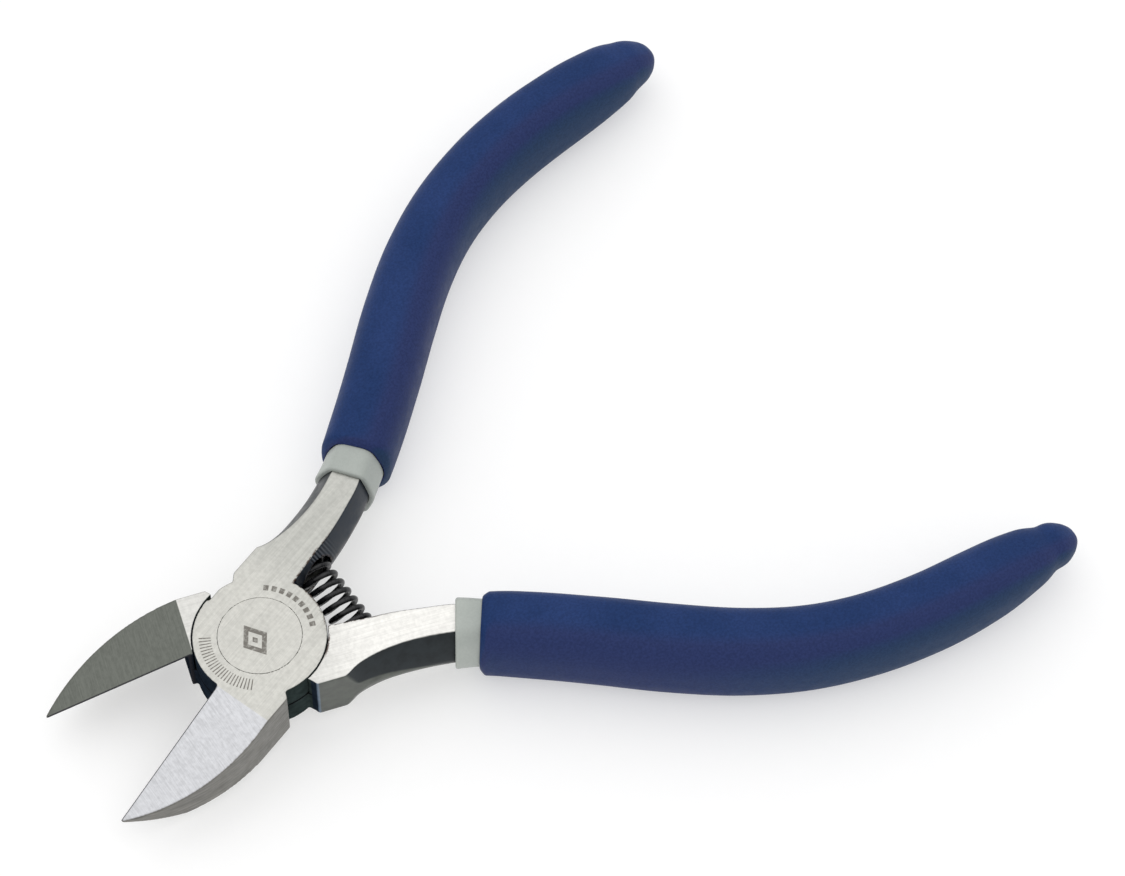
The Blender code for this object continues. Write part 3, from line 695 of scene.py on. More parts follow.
def steel_half(name, side):
    """One forging. side = +1 carries its disc in the upper half of the joint, -1 in the lower half."""
    body = plate(name, half_outline(side), -GRIND_MARGIN, JOINT_THICKNESS + GRIND_MARGIN)
    combine(body, tang(side), "UNION")
    cut(body, box_cutter((-BIG, -BIG, JOINT_THICKNESS), (3 * BIG, BIG, BIG)))
    cut(body, box_cutter((-BIG, -BIG, -BIG), (3 * BIG, BIG, 0)))

    low_y, high_y = sorted((side * SHOULDER_Y[side], side * BIG))
    cut(body, box_cutter((0, low_y, -BIG), (SHOULDER_GRIND_END_X, high_y, BIG)))
    cut(body, box_cutter((-BIG, -BIG, 0), (0, BIG, BIG), face_frame()))
    underside = Matrix.Translation((UNDERSIDE_START_X, 0, 0))
    underside = underside @ Matrix.Rotation(UNDERSIDE_SLOPE, 4, "Y")
    cut(body, box_cutter((-BIG, -BIG, -BIG), (0, BIG, 0), underside))
    relief = edge_frame(side) @ Matrix.Rotation(-side * RELIEF_ANGLE, 4, "X")
    low_y, high_y = sorted((0, side * BIG))
    cut(body, box_cutter((-BIG, low_y, -BIG), (RELIEF_START_X - JAW_FACE_START_X, high_y, 0), relief))

    gap = RUNNING_GAP / 2
    recess_low, recess_high = (-BIG, MID_Z + gap) if side > 0 else (MID_Z - gap, BIG)
    recess = Matrix.Translation((0, 0, (recess_low + recess_high) / 2))
    cut(body, cylinder_cutter(DISC_RADIUS + RUNNING_GAP, recess_high - recess_low, recess))
    cut(body, turned("rivet_seat", rivet_profile(RIVET_GAP)))

    pocket = turn(side).inverted() @ Matrix.Translation((SPRING_X, side * SPRING_SEAT_Y / 2, MID_Z))
    pocket = pocket @ Matrix.Rotation(math.pi / 2, 4, "X")
    pocket_radius = SPRING_DIAMETER / 2 + POCKET_CLEARANCE
    cut(body, cylinder_cutter(pocket_radius, SPRING_SEAT_Y + 2 * POCKET_CLEARANCE, pocket))
    tidy_mesh(body)
    soften_edges(body)
    body.data.transform(turn(side))
    mark_convex(body)
    return body


def mesh_arrays(mesh):
    """Places and normals of a mesh's vertices, and the two vertices of each edge."""
    def read(items, name, width, kind):
        values = np.zeros(len(items) * width, kind)
        items.foreach_get(name, values)
        return values.reshape(-1, width)

    return (read(mesh.vertices, "co", 3, float), read(mesh.vertices, "normal", 3, float),
            *read(mesh.edges, "vertices", 2, int).T)


def soften_edges(item):
    """Break the sharp edges, except the rivet's seat: a fine mesh, averaged a few times near edges."""
    remesh = item.modifiers.new("remesh", "REMESH")
    remesh.mode = "VOXEL"
    remesh.voxel_size = VOXEL * MM
    apply_modifiers(item)

    mesh = item.data
    places, normals, first, second = mesh_arrays(mesh)
    count = len(places)
    bend = np.arccos(np.clip((normals[first] * normals[second]).sum(axis=1), -1, 1))
    sharp = bend > EDGE_ANGLE
    near = np.zeros(count, bool)
    near[first[sharp]] = near[second[sharp]] = True
    near &= np.hypot(places[:, 0], places[:, 1]) > (RIVET_HEAD_RADIUS + RIVET_SEAT_GUARD) * MM
    neighbours = np.bincount(first, minlength=count) + np.bincount(second, minlength=count)
    for _ in range(EDGE_SMOOTHING_STEPS):
        total = np.column_stack([np.bincount(first, places[second, k], count)
                                 + np.bincount(second, places[first, k], count) for k in range(3)])
        moved = EDGE_SMOOTHING_SHARE * (total / neighbours[:, None])[near]
        places[near] = (1 - EDGE_SMOOTHING_SHARE) * places[near] + moved
    mesh.vertices.foreach_set("co", places.ravel())
    mesh.update()

    thin = item.modifiers.new("thin", "DECIMATE")
    thin.ratio = min(1.0, STEEL_TRIANGLES / (2 * len(mesh.polygons)))
    thin.use_collapse_triangulate = True
    apply_modifiers(item)


def mark_convex(item):
    """Store how far each vertex stands out from its neighbours, so that materials can wear the edges."""
    mesh = item.data
    places, normals, first, second = mesh_arrays(mesh)
    count = len(places)
    step = places[first] - places[second]
    step /= np.maximum(np.linalg.norm(step, axis=1), 1e-9)[:, None]
    total = np.bincount(first, (normals[first] * step).sum(axis=1), count)
    total -= np.bincount(second, (normals[second] * step).sum(axis=1), count)
    neighbours = np.bincount(first, minlength=count) + np.bincount(second, minlength=count)
    total /= np.maximum(neighbours, 1)
    convex = mesh.attributes.new("convex", "FLOAT", "POINT")
    convex.data.foreach_set("value", total.astype(np.float32))


def coat(name, side, front, lip, outer_end, section, cavity, cavity_end, outer_stations):
    """A dipped coat: a cup whose open front ends in a rounded lip."""
    inner_stations = reversed(stations(front, cavity_end, CAVITY_STEP))
    inside = [placed_ring(x, side, cavity(x)) for x in inner_stations]
    rim = []
    for i in range(LIP_STEPS + 1):
        angle = math.pi / 2 * i / LIP_STEPS
        x = front + lip * (1 - math.cos(angle))
        rim.append(placed_ring(x, side, section(x, lip * (1 - math.sin(angle)))))
    past_lip = [x for x in outer_stations if front + lip < x <= outer_end]
    outside = [placed_ring(x, side, section(x, 0.0)) for x in past_lip]
    return loft(name, inside + rim + outside)


def liner(name, side):
    """The thin first coat, over the tang."""
    def section(x, shrink):
        growth = smooth_row(LINER_GROWTH[side], x)[0] - shrink
        return coated_section(min(x, TANG_END_X), growth, LINER_SOFTNESS)

    def cavity(x):
        return coated_section(min(x, TANG_END_X), COAT_GAP, CAVITY_SOFTNESS)

    front = LINER_FRONT_X[side]
    return coat(name, side, front, LINER_LIP, LINER_END_X, section, cavity, CAVITY_BACK_X,
                stations(front, LINER_END_X, LINER_STEP))


def sleeve(name, side):
    """The thick second coat, over the liner, rounded at its tip."""
    def cavity(x):
        growth = smooth_row(LINER_GROWTH[side], x)[0] + COAT_GAP
        return coated_section(min(x, TANG_END_X), growth, LINER_SOFTNESS)

    def section(x, shrink):
        return hugging_section(x, side, shrink)

    front = SLEEVE_FRONT_X[side]
    tip = [SLEEVE_END_X - TIP_LENGTH * (1 - t) ** 2 for t in np.linspace(0, 1, TIP_STATIONS)]
    near = stations(front, front + SLEEVE_HUG_LENGTH, SLEEVE_LIP_STEP)
    far = stations(near[-1] + SLEEVE_STEP, tip[0] - TIP_JOIN, SLEEVE_STEP)
    return coat(name, side, front, SLEEVE_LIP, SLEEVE_END_X, section, cavity, SLEEVE_CAVITY_END_X,
                near + far + tip)


def spring_path():
    """Centre line of the coil: a close turn at each end, and between them even turns that lean a little."""
    radius = (SPRING_DIAMETER - SPRING_WIRE) / 2
    half = SPRING_SEAT_Y - SPRING_WIRE / 2
    turns = (2 * half - 2 * SPRING_END_PITCH) / SPRING_PITCH + 2
    points = []
    steps = int(turns * SPRING_POINTS_PER_TURN)
    for i in range(steps + 1):
        t = turns * i / steps
        climb = min(t, 1) * SPRING_END_PITCH + max(t - 1, 0) * SPRING_PITCH
        climb -= max(t - turns + 1, 0) * (SPRING_PITCH - SPRING_END_PITCH)
        angle = 2 * math.pi * t
        rise = radius * math.sin(angle)
        free = ease(t - 0.5) * ease(turns - 0.5 - t)
        y = -half + climb - SPRING_LEAN * free * rise
        points.append(Vector((SPRING_X + radius * math.cos(angle), y, MID_Z + rise)))
    return points


def spring(name):
    """A round wire along the coil, with broken edges at both cut ends."""
    path = spring_path()
    last = len(path) - 1
    axis = Vector((0, 1, 0))
    angles = [2 * math.pi * k / WIRE_POINTS for k in range(WIRE_POINTS)]
    rings = []
    for i, point in enumerate(path):
        along = (path[min(i + 1, last)] - path[max(i - 1, 0)]).normalized()
        across = along.cross(axis).normalized()
        up = across.cross(along)
        radius = SPRING_WIRE / 2 * (WIRE_END_TAPER if i in (0, last) else 1.0)
        rings.append([point + radius * (across * math.cos(a) + up * math.sin(a)) for a in angles])
    return loft(name, rings)


class Shade:
    """A Principled material whose nodes are added by short calls that return output sockets."""

    def __init__(self, name, roughness, metallic=0.0, specular=0.5):
        self.material = bpy.data.materials.new(name)
        self.material.use_nodes = True
        self.tree = self.material.node_tree
        self.shader = self.tree.nodes["Principled BSDF"]
        self.put("Roughness", roughness)
        self.put("Metallic", metallic)
        self.put("Specular IOR Level", specular)
        source = self.node("ShaderNodeTexCoord")
        self.place = source.outputs["Object"]
        self.normal = source.outputs["Normal"]

    def node(self, kind, **settings):
        """A new node of a kind, with its settings."""
        made = self.tree.nodes.new(kind)
        for key, value in settings.items():
            setattr(made, key, value)
        return made

    def feed(self, socket, value):
        """Link an output socket to an input, or set the input to a plain value."""
        if isinstance(value, bpy.types.NodeSocket):
            self.tree.links.new(value, socket)
        elif isinstance(value, tuple) and len(value) == 3 and socket.type == "RGBA":
            socket.default_value = (*value, 1.0)
        else:
            socket.default_value = value

    def put(self, name, value):
        """Give the Principled shader's named input a socket or a plain value."""
        self.feed(self.shader.inputs[name], value)

    def math(self, operation, *values):
        """The result of a math operation on sockets and numbers."""
        made = self.node("ShaderNodeMath", operation=operation)
        for socket, value in zip(made.inputs, values):
            self.feed(socket, value)
        return made.outputs[0]

    def ramp(self, value, low, high, to_low=0.0, to_high=1.0):
        """The value moved smoothly from the range low to high into another range, and clamped to it."""
        made = self.node("ShaderNodeMapRange", interpolation_type="SMOOTHSTEP")
        for socket, number in zip(made.inputs, (value, low, high, to_low, to_high)):
            self.feed(socket, number)
        return made.outputs[0]

    def fall(self, value, low, high):
        """1 under low and 0 over high."""
        return self.ramp(value, low, high, 1.0, 0.0)

    def band(self, value, low, high, soft):
        """1 between low and high and 0 elsewhere, with soft ends."""
        return self.both(self.ramp(value, low - soft, low), self.fall(value, high, high + soft))

    def past(self, place, start, end):
        """1 past a place, rising between two places in millimetres."""
        return self.ramp(place, start * MM, end * MM)

    def before(self, place, start, end):
        """1 before a place, falling between two places in millimetres."""
        return self.fall(place, start * MM, end * MM)

    def between(self, place, start, full, fading, gone):
        """1 between two places, rising before and falling after them, in millimetres."""
        return self.both(self.past(place, start, full), self.before(place, fading, gone))

    def both(self, *masks):
        """Where every mask is 1."""
        return reduce(lambda first, second: self.math("MULTIPLY", first, second), masks)

    def either(self, *masks):
        """Where any mask is 1."""
        return reduce(lambda first, second: self.math("MAXIMUM", first, second), masks)

    def outside(self, mask):
        """Where the mask is 0."""
        return self.math("SUBTRACT", 1.0, mask)

    def weighed(self, first, first_share, second, second_share):
        """The sum of two values, each times its share."""
        return self.math("MULTIPLY_ADD", first, first_share, self.math("MULTIPLY", second, second_share))

    def length(self, x, y):
        """The distance from the origin of a point in a plane."""
        return self.math("SQRT", self.math("MULTIPLY_ADD", x, x, self.math("MULTIPLY", y, y)))

    def mix(self, mask, first, second):
        """The first colour, or the second one where the mask is 1."""
        made = self.node("ShaderNodeMix", data_type="RGBA")
        self.feed(made.inputs["Factor"], mask)
        self.feed(made.inputs[6], first)
        self.feed(made.inputs[7], second)
        return made.outputs[2]

    def blend(self, mask, first, second):
        """The first number, or the second one where the mask is 1."""
        made = self.node("ShaderNodeMix", data_type="FLOAT")
        self.feed(made.inputs["Factor"], mask)
        self.feed(made.inputs[2], first)
        self.feed(made.inputs[3], second)
        return made.outputs[0]

    def cover(self, colour, mask, tint, share):
        """A colour with a tint over it where the mask is 1, up to a share."""
        return self.mix(self.math("MULTIPLY", mask, share), colour, tint)

    def shaded(self, colour, factor):
        """A colour made darker or lighter by a factor."""
        made = self.node("ShaderNodeVectorMath", operation="SCALE")
        self.feed(made.inputs[0], colour)
        self.feed(made.inputs["Scale"], factor)
        return made.outputs[0]

    def turned(self, angle, source=None):
        """The object's coordinates, or another vector, along axes that are turned about Z."""
        mapping = self.node("ShaderNodeMapping", vector_type="POINT")
        mapping.inputs["Rotation"].default_value = (0, 0, -angle)
        self.feed(mapping.inputs["Vector"], source or self.place)
        return mapping.outputs[0]

    def noise(self, cells, angle=0.0, detail=3.0, rough=0.6):
        """Noise from 0 to 1. cells is its number of cells per metre, along each turned axis or all."""
        stretched = self.node("ShaderNodeMapping", vector_type="POINT")
        stretched.inputs["Scale"].default_value = cells if isinstance(cells, tuple) else (cells,) * 3
        self.feed(stretched.inputs["Vector"], self.turned(angle))
        made = self.node("ShaderNodeTexNoise")
        self.feed(made.inputs["Vector"], stretched.outputs[0])
        made.inputs["Scale"].default_value = 1.0
        made.inputs["Detail"].default_value = detail
        made.inputs["Roughness"].default_value = rough
        return made.outputs["Fac"]

    def parts(self, vector):
        """The X, Y and Z of a vector."""
        split = self.node("ShaderNodeSeparateXYZ")
        self.feed(split.inputs[0], vector)
        return tuple(split.outputs)

    def stored(self, name):
        """A number stored on the mesh's vertices."""
        return self.node("ShaderNodeAttribute", attribute_name=name).outputs["Fac"]

    def bump(self, height, depth, strength):
        """Small relief from a height, up to a depth in millimetres."""
        made = self.node("ShaderNodeBump")
        made.inputs["Strength"].default_value = strength
        made.inputs["Distance"].default_value = depth * MM
        self.feed(made.inputs["Height"], height)
        self.put("Normal", made.outputs[0])


def etched_marks(shade):
    """Where the joint's flat is etched: ticks and dashes on the rim and a small diamond on the rivet."""
    x, y, z = shade.parts(shade.place)
    radius = shade.length(x, y)
    angle = shade.math("ARCTAN2", y, x)
    back = shade.math("ARCTAN2", shade.math("MULTIPLY", y, -1.0), shade.math("MULTIPLY", x, -1.0))

    def row(direction, middle, spread, count, share, radii):
        """Marks between two radii, evenly spaced about a middle direction."""
        step = 2 * spread / count
        swing = shade.math("ADD", direction, spread - middle)
        phase = shade.math("FRACT", shade.math("DIVIDE", swing, step))
        off_middle = shade.math("ABSOLUTE", shade.math("SUBTRACT", phase, 0.5))
        mark = shade.fall(off_middle, share / 2 - MARK_SIDE_SOFT, share / 2 + MARK_SIDE_SOFT)
        reach = shade.band(swing, 0.0, 2 * spread, ROW_END_SOFT)
        return shade.both(mark, reach, rim(radius, *radii))

    def rim(value, low, high):
        return shade.between(value, low - MARK_SOFT, low, high, high + MARK_SOFT)

    ticks = row(back, RIM_TICKS_AT, RIM_TICKS_SPREAD, RIM_TICKS, TICK_SHARE, TICK_RADII)
    dashes = row(angle, RIM_DASHES_AT, RIM_DASHES_SPREAD, RIM_DASHES, DASH_SHARE, DASH_RADII)
    across = shade.math("ABSOLUTE", shade.math("SUBTRACT", x, DIAMOND_X * MM))
    along = shade.math("ABSOLUTE", shade.math("SUBTRACT", y, DIAMOND_Y * MM))
    span = shade.math("MULTIPLY_ADD", along, DIAMOND_SQUASH, across)
    diamond = rim(span, DIAMOND_HOLE, DIAMOND_SIZE)
    dot = shade.before(span, DIAMOND_DOT, DIAMOND_DOT + MARK_SOFT)
    worn = shade.ramp(shade.noise(ETCH_CELLS, detail=2.0), *ETCH_WEAR)
    return shade.both(shade.either(ticks, dashes, diamond, dot), worn, shade.past(z, *ETCH_Z))


def grain(shade, angle):
    """Grinding marks along the turned X axis."""
    fine = shade.noise(FINE_GRAIN_CELLS, angle, detail=4.0, rough=0.75)
    broad = shade.noise(BROAD_GRAIN_CELLS, angle)
    patches = shade.noise(GRAIN_PATCH_CELLS, angle)
    return shade.weighed(shade.weighed(fine, 0.55, broad, 0.45), 0.82, patches, 0.18)


def fine_speckle(shade, angle):
    """The fine uneven lightness of ground steel."""
    return shade.noise(SPECKLE_CELLS, angle)


def flat_texture(shade, lines, speckle):
    """How light the ground flats are, along their grinding marks and across their fine speckle."""
    return shade.both(shade.ramp(lines, *FLAT_CONTRAST), shade.ramp(speckle, *SPECKLE_CONTRAST))


class Regions:
    """Masks over a forging's surface, and its coordinates in its closed position."""

    def __init__(self, shade, side):
        angle = side * OPEN_HALF_ANGLE
        x, y, z = shade.parts(shade.turned(angle))
        facing_x, _, up = shade.parts(shade.turned(angle, shade.normal))
        radius = shade.length(x, y)
        self.x = x
        self.z = z
        self.tilt = shade.math("ABSOLUTE", up)
        self.outward = shade.math("MULTIPLY", y, float(side))
        self.off_axis = shade.math("ABSOLUTE", y)

        between_discs = shade.both(shade.between(z, *BETWEEN_DISCS_Z),
                                   shade.before(radius, *BETWEEN_DISCS_RADIUS))
        steep = shade.both(shade.fall(self.tilt, *STEEP_TILT), shade.past(radius, *OFF_RIVET_RADIUS))
        self.wall = shade.either(steep, between_discs)
        self.jaw_face = shade.both(shade.before(x, *JAW_FACE_X), shade.ramp(up, *JAW_FACE_UP))
        self.disc_wall = shade.before(radius, *DISC_WALL_RADIUS)
        inner_side = shade.both(shade.past(x, *INNER_SIDE_X), shade.before(self.off_axis, *INNER_SIDE_Y))
        self.root = shade.both(shade.between(x, *ROOT_X), shade.before(self.off_axis, *ROOT_Y))
        self.throat = shade.either(inner_side, self.root)
        self.jaw = shade.both(shade.before(x, *JAW_WALL_X), shade.outside(self.throat))
        self.shoulder_end = shade.both(shade.fall(facing_x, *SHOULDER_END_FACING),
                                       shade.between(x, *SHOULDER_END_X))


def wall_colour(shade, at, mottle, brushed):
    """The upright sides, painted dark as shade: forged black darkened further, ground shoulders and brushed
    jaws painted dark, painted shade in the pocket, throat and gaps about the joint, and a painted bluish
    highlight on the shoulder's corner.
    """
    above_ridge = shade.past(shade.math("MULTIPLY_ADD", at.x, RIDGE_SLOPE, at.z), *RIDGE_Z)
    past_shoulder = shade.past(shade.math("MULTIPLY_ADD", at.z, GROUND_END_SLOPE, at.x), *GROUND_END_X)
    ground = shade.both(shade.past(at.outward, *GROUND_Y), shade.past(at.x, *GROUND_FROM_X),
                        shade.outside(shade.both(above_ridge, past_shoulder)))
    # Painted shade in the spring's pocket
    pocket = shade.both(shade.before(at.outward, *POCKET_Y), shade.between(at.x, *POCKET_X))
    # Painted highlight on the shoulder's corner
    corner = shade.both(shade.past(at.outward, *CORNER_Y), shade.between(at.x, *CORNER_X))
    # Painted shade on the sides: forged black darkened further, ground shoulders and brushed jaws painted
    # dark
    wall = shade.mix(ground, FORGED_BLACK_AND_PAINTED_SHADE, SHOULDER_PAINTED_SHADE)
    wall = shade.mix(at.jaw, wall, JAW_WALL_PAINTED_SHADE)
    wall = shade.cover(wall, pocket, POCKET_AND_SEAM_PAINTED_SHADE, POCKET_SHADE_SHARE)
    # Painted shade on the shoulder's end wall
    wall = shade.mix(at.shoulder_end, wall, THROAT_AND_SHOULDER_END_PAINTED_SHADE)
    wall = shade.cover(wall, corner, CORNER_PAINTED_HIGHLIGHT, CORNER_HIGHLIGHT_SHARE)

    # Painted shade on the throat and the discs' walls
    dark = shade.mix(shade.past(at.off_axis, *ROUND_WALL_Y), THROAT_AND_SHOULDER_END_PAINTED_SHADE, DISC_WALL_PAINTED_SHADE)
    # Painted shade along the gap between the discs
    dark = shade.mix(shade.between(at.z, *SEAM_Z), dark, POCKET_AND_SEAM_PAINTED_SHADE)
    wall = shade.mix(shade.either(at.throat, at.disc_wall), wall, dark)
    return shade.shaded(wall, shade.ramp(shade.blend(at.jaw, mottle, brushed), *WALL_CONTRAST))


def with_edges(shade, at, colour, mottle):
    """A forging's colour with bright edges that are partly wear and partly painted highlight, rust on the
    tang's rim and painted shade along the cutting edge.
    """
    convex = shade.stored("convex")
    uneven = shade.math("ADD", convex, shade.math("MULTIPLY", mottle, WEAR_UNEVENNESS))
    # Bright edges on the sides, partly wear and partly painted highlight
    worn = shade.both(shade.ramp(uneven, *WORN_CONVEX), shade.fall(at.tilt, *WORN_TILT),
                      shade.outside(at.disc_wall), shade.outside(at.shoulder_end))
    colour = shade.cover(colour, worn, EDGE_WEAR_AND_PAINTED_HIGHLIGHT, WEAR_AND_HIGHLIGHT_SHARE)
    ragged = shade.ramp(shade.noise(RUST_CELLS), *RUST_SPREAD)
    rust = shade.both(ragged, shade.ramp(convex, *RUST_CONVEX), shade.between(at.x, *RUST_X),
                      shade.before(at.outward, *RUST_Y))
    colour = shade.cover(colour, rust, RUST_COLOUR, RUST_SHARE)
    # Painted shade along the cutting edge
    edge = shade.both(shade.before(at.off_axis, *CUTTING_EDGE_Y), shade.before(at.x, *CUTTING_EDGE_X))
    return shade.cover(colour, edge, CUTTING_EDGE_PAINTED_SHADE, CUTTING_EDGE_SHADE_SHARE)


def milled_marks(shade, at):
    """The row of milled cuts on the tang's inner side, where the spring's pocket ends."""
    along = shade.weighed(at.x, MILLED_PER_METRE, at.z, MILLED_LEAN * MILLED_PER_METRE)
    place = shade.both(at.wall, shade.between(at.x, *MILLED_X), shade.before(at.outward, *MILLED_Y))
    return shade.math("MULTIPLY", shade.math("MULTIPLY", shade.math("SINE", along), place), MILLED_DEPTH)


def half_steel(name, side, painted_face_light, marked):
    """A forging: grained flats and a cross-ground jaw face, both with painted light, sides painted dark as
    shade, and bright edges that are partly wear and partly painted highlight.
    """
    shade = Shade(name, 0.35, metallic=1.0)
    angle = side * OPEN_HALF_ANGLE
    at = Regions(shade, side)

    lines = grain(shade, angle)
    speckle = fine_speckle(shade, angle)
    across = shade.noise(CROSS_GRAIN_CELLS, min(angle, 0.0), detail=4.0, rough=0.75)
    cross_grain = shade.weighed(across, 0.6, speckle, 0.4)
    # Painted light: each half's flats and tang flats get their own lightness
    flat = shade.mix(shade.past(at.x, *TANG_FLAT_X), FLAT_COLOUR_WITH_PAINTED_LIGHT[side], TANG_FLAT_PAINTED_LIGHT[side])
    flat = shade.shaded(flat, flat_texture(shade, lines, speckle))
    # The jaw face's colour, painted lit on the upper half and painted shaded on the lower
    face = shade.shaded(painted_face_light, shade.ramp(cross_grain, *FACE_CONTRAST))
    top = shade.mix(at.jaw_face, flat, face)

    mottle = shade.noise(MOTTLE_CELLS, detail=4.0)
    brushed = shade.noise(BRUSHED_CELLS, angle)
    colour = shade.mix(at.wall, top, wall_colour(shade, at, mottle, brushed))
    colour = with_edges(shade, at, colour, mottle)
    if marked:
        colour = shade.cover(colour, etched_marks(shade), ETCH_COLOUR, ETCH_SHARE)
    shade.put("Base Color", colour)

    dull = shade.both(shade.either(at.shoulder_end, at.root, at.disc_wall), at.wall)
    fine = shade.blend(at.jaw_face, lines, cross_grain)
    shade.put("Roughness", shade.blend(at.wall, shade.ramp(fine, *GROUND_ROUGHNESS),
                                       shade.ramp(mottle, *WALL_ROUGHNESS)))
    shade.put("Metallic", shade.blend(at.wall, 1.0, shade.blend(dull, WALL_METALLIC, 0.0)))
    shade.put("Specular IOR Level", shade.blend(dull, 0.5, 0.0))
    height = shade.blend(at.wall, shade.math("MULTIPLY", fine, GROUND_HEIGHT), mottle)
    shade.bump(shade.math("ADD", height, milled_marks(shade, at)), STEEL_BUMP, 0.5)
    return shade.material


def rivet_metal():
    """The rivet's head, ground flat together with the upper disc and etched like it."""
    shade = Shade("rivet_ground_steel", 0.35, metallic=1.0)
    lines = grain(shade, OPEN_HALF_ANGLE)
    speckle = fine_speckle(shade, OPEN_HALF_ANGLE)
    # The upper half's flat colour, its painted light included
    colour = shade.shaded(FLAT_COLOUR_WITH_PAINTED_LIGHT[1], flat_texture(shade, lines, speckle))
    shade.put("Base Color", shade.cover(colour, etched_marks(shade), ETCH_COLOUR, ETCH_SHARE))
    shade.put("Roughness", shade.ramp(lines, *GROUND_ROUGHNESS))
    shade.bump(lines, STEEL_BUMP, 0.18)
    return shade.material


def vinyl(name, colours, roughness, specular, contrast, painted_flank_light=None):
    """Dipped plastic: a slightly uneven, finely speckled skin.

    The last argument holds painted light: tints halfway round to -Y and where the skin faces -Y, standing
    in for how light falls on the sleeves' sides.
    """
    shade = Shade(name, roughness, specular=specular)
    skin = shade.noise(VINYL_SKIN_CELLS)
    colour = shade.mix(shade.ramp(shade.noise(VINYL_CLOUD_CELLS), *CLOUD_SPREAD), *colours)
    if painted_flank_light:
        # Painted light: the sleeve's tints change with which way its skin faces
        facing_y = shade.parts(shade.normal)[1]
        crest_painted_light, flank_tint_painted_light = painted_flank_light
        colour = shade.mix(shade.band(facing_y, *CREST_FACING, CREST_SOFT), colour, crest_painted_light)
        colour = shade.mix(shade.ramp(facing_y, *SIDE_FACING), colour, flank_tint_painted_light)
    speckle = shade.noise(VINYL_SPECKLE_CELLS, detail=2.0)
    speckle = shade.ramp(speckle, *NOISE_RANGE, 1 - contrast, 1 + contrast)
    shade.put("Base Color", shade.shaded(colour, speckle))
    shade.put("Roughness", shade.ramp(skin, *NOISE_RANGE, roughness - 0.04, roughness + 0.05))
    ripples = shade.noise(VINYL_RIPPLE_CELLS, detail=2.0)
    shade.bump(shade.weighed(skin, 0.25, ripples, 1.0), VINYL_BUMP, 0.3)
    return shade.material


def black_wire():
    """Blackened spring wire: dark, slightly glossy, drawn along its length."""
    shade = Shade("black_wire", 0.3, metallic=0.4)
    scratches = shade.noise(SCRATCH_CELLS)
    shade.put("Base Color", shade.mix(shade.ramp(scratches, 0.35, 0.7), *WIRE_COLOURS))
    shade.put("Roughness", shade.ramp(scratches, *NOISE_RANGE, 0.22, 0.42))
    shade.bump(scratches, WIRE_BUMP, 0.4)
    return shade.material


def show(item, look, body, node):
    """Let a fine piece stand for a CAD node, with its material and its body."""
    item.data.materials.clear()
    item.data.materials.append(look)
    item.data.shade_smooth()
    item.data.set_sharp_from_angle(angle=SHARP_ANGLE)
    if body:
        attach(item, body)
    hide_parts(node)


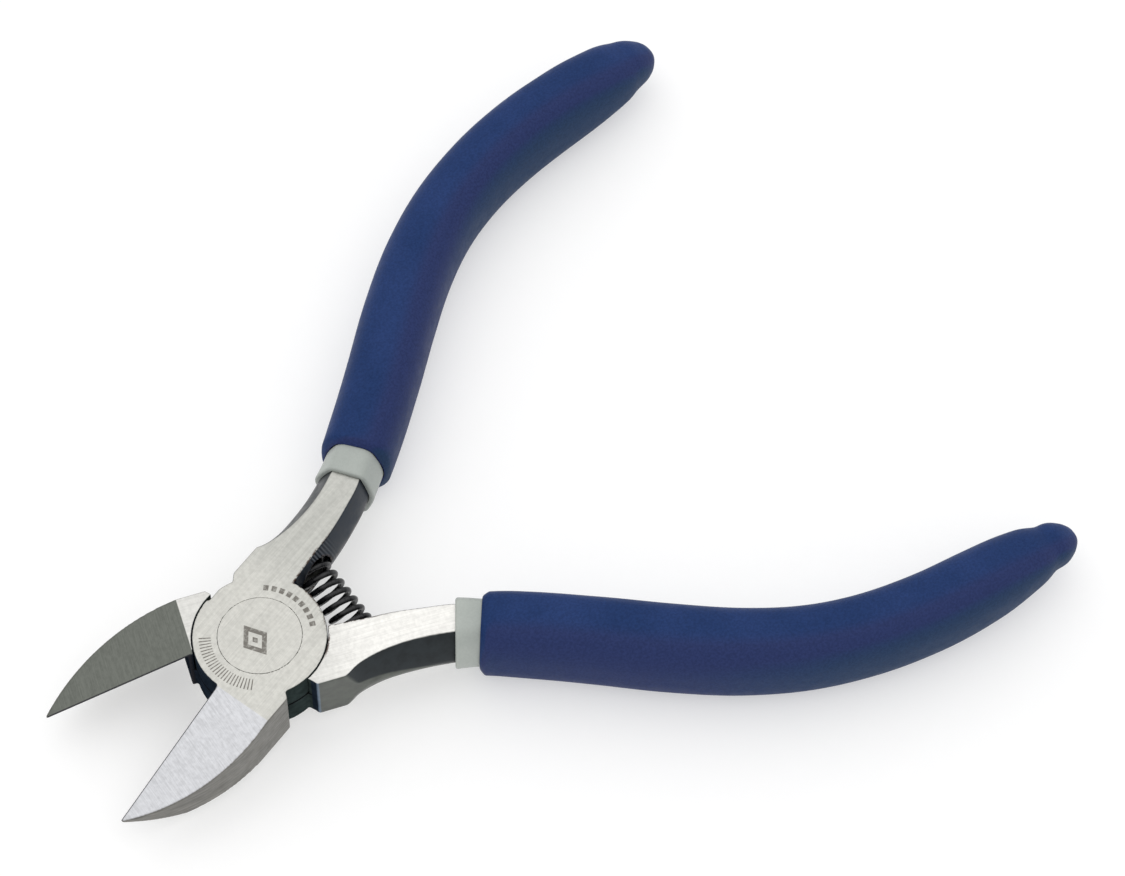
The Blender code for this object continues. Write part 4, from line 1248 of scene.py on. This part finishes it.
def build_pieces():
    """The eight pieces: two forgings, two coats on each handle, the rivet and the return spring."""
    grey = vinyl("grey_vinyl", GREY_COLOURS, 0.45, 0.4, GREY_SPECKLE)
    blue = vinyl("blue_vinyl", BLUE_COLOURS, 0.46, 0.05, BLUE_SPECKLE, BLUE_FLANK_PAINTED_LIGHT)
    coats = ((liner, "liner", grey, "grey_vinyl"), (sleeve, "sleeve", blue, "blue_vinyl"))
    # The upper jaw face is painted lit and the lower one painted shaded
    for body, side, painted_face_light in (("upper", 1, JAW_FACE_PAINTED_LIT), ("lower", -1, JAW_FACE_PAINTED_SHADED)):
        steel = half_steel(body + "_steel", side, painted_face_light, marked=side > 0)
        show(steel_half(body + "_half_fine", side), steel, body, body + "_half")
        for made, kind, look, slot in coats:
            item = made(f"{body}_grip_{kind}_fine", side)
            item.data.transform(turn(side))
            show(item, look, body, f"{body}_grip_{kind}")
    rivet = turned("pivot_rivet_fine", rivet_profile(0.0))
    show(rivet, rivet_metal(), "lower", "pivot_rivet")
    coil = spring("return_spring_fine")
    show(coil, black_wire(), None, "return_spring")
    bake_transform(coil)


def floor(level):
    """A plain white table that glows a little, so that it stays white behind the tool."""
    work = bmesh.new()
    bmesh.ops.create_grid(work, x_segments=1, y_segments=1, size=FLOOR_HALF_SIZE)
    item = finished("floor", work)
    item.location.z = level
    shade = Shade("light_table", 0.9, specular=0.1)
    shade.put("Base Color", shade.mix(shade.noise(FLOOR_CELLS), *FLOOR_COLOURS))
    shade.put("Emission Color", (1.0, 1.0, 1.0))
    shade.put("Emission Strength", FLOOR_GLOW)
    item.data.materials.append(shade.material)


def look_from(item, back, distance, roll=0.0):
    """Stand a light or camera at a distance from the camera's target, turned towards it."""
    item.location = CAMERA_TARGET + back * distance
    item.rotation_mode = "QUATERNION"
    facing = back.to_track_quat("Z", "Y")
    item.rotation_quaternion = facing @ Matrix.Rotation(roll, 3, "Z").to_quaternion()


def lights():
    """One large softbox overhead, in a white surrounding."""
    data = bpy.data.lights.new("top_softbox", "AREA")
    data.size = TOP_SIZE
    data.energy = TOP_POWER
    look_from(link("top_softbox", data), TOP_DIRECTION.normalized(), TOP_DISTANCE)
    world = bpy.data.worlds.new("studio")
    world.use_nodes = True
    background = world.node_tree.nodes["Background"]
    background.inputs["Color"].default_value = (1, 1, 1, 1)
    background.inputs["Strength"].default_value = WORLD_STRENGTH
    bpy.context.scene.world = world


def camera():
    """The photo's camera."""
    data = bpy.data.cameras.new("camera")
    data.lens = CAMERA_LENS
    data.sensor_width = CAMERA_SENSOR
    data.clip_start, data.clip_end = CAMERA_CLIP
    item = link("camera", data)
    level = math.cos(CAMERA_ELEVATION)
    back = Vector((math.sin(CAMERA_AZIMUTH) * level, -math.cos(CAMERA_AZIMUTH) * level,
                   math.sin(CAMERA_ELEVATION)))
    look_from(item, back, CAMERA_DISTANCE, CAMERA_ROLL)
    bpy.context.scene.camera = item


build_pieces()
floor(cad_low.z)
lights()
camera()
bpy.context.scene.view_settings.view_transform = "Standard"
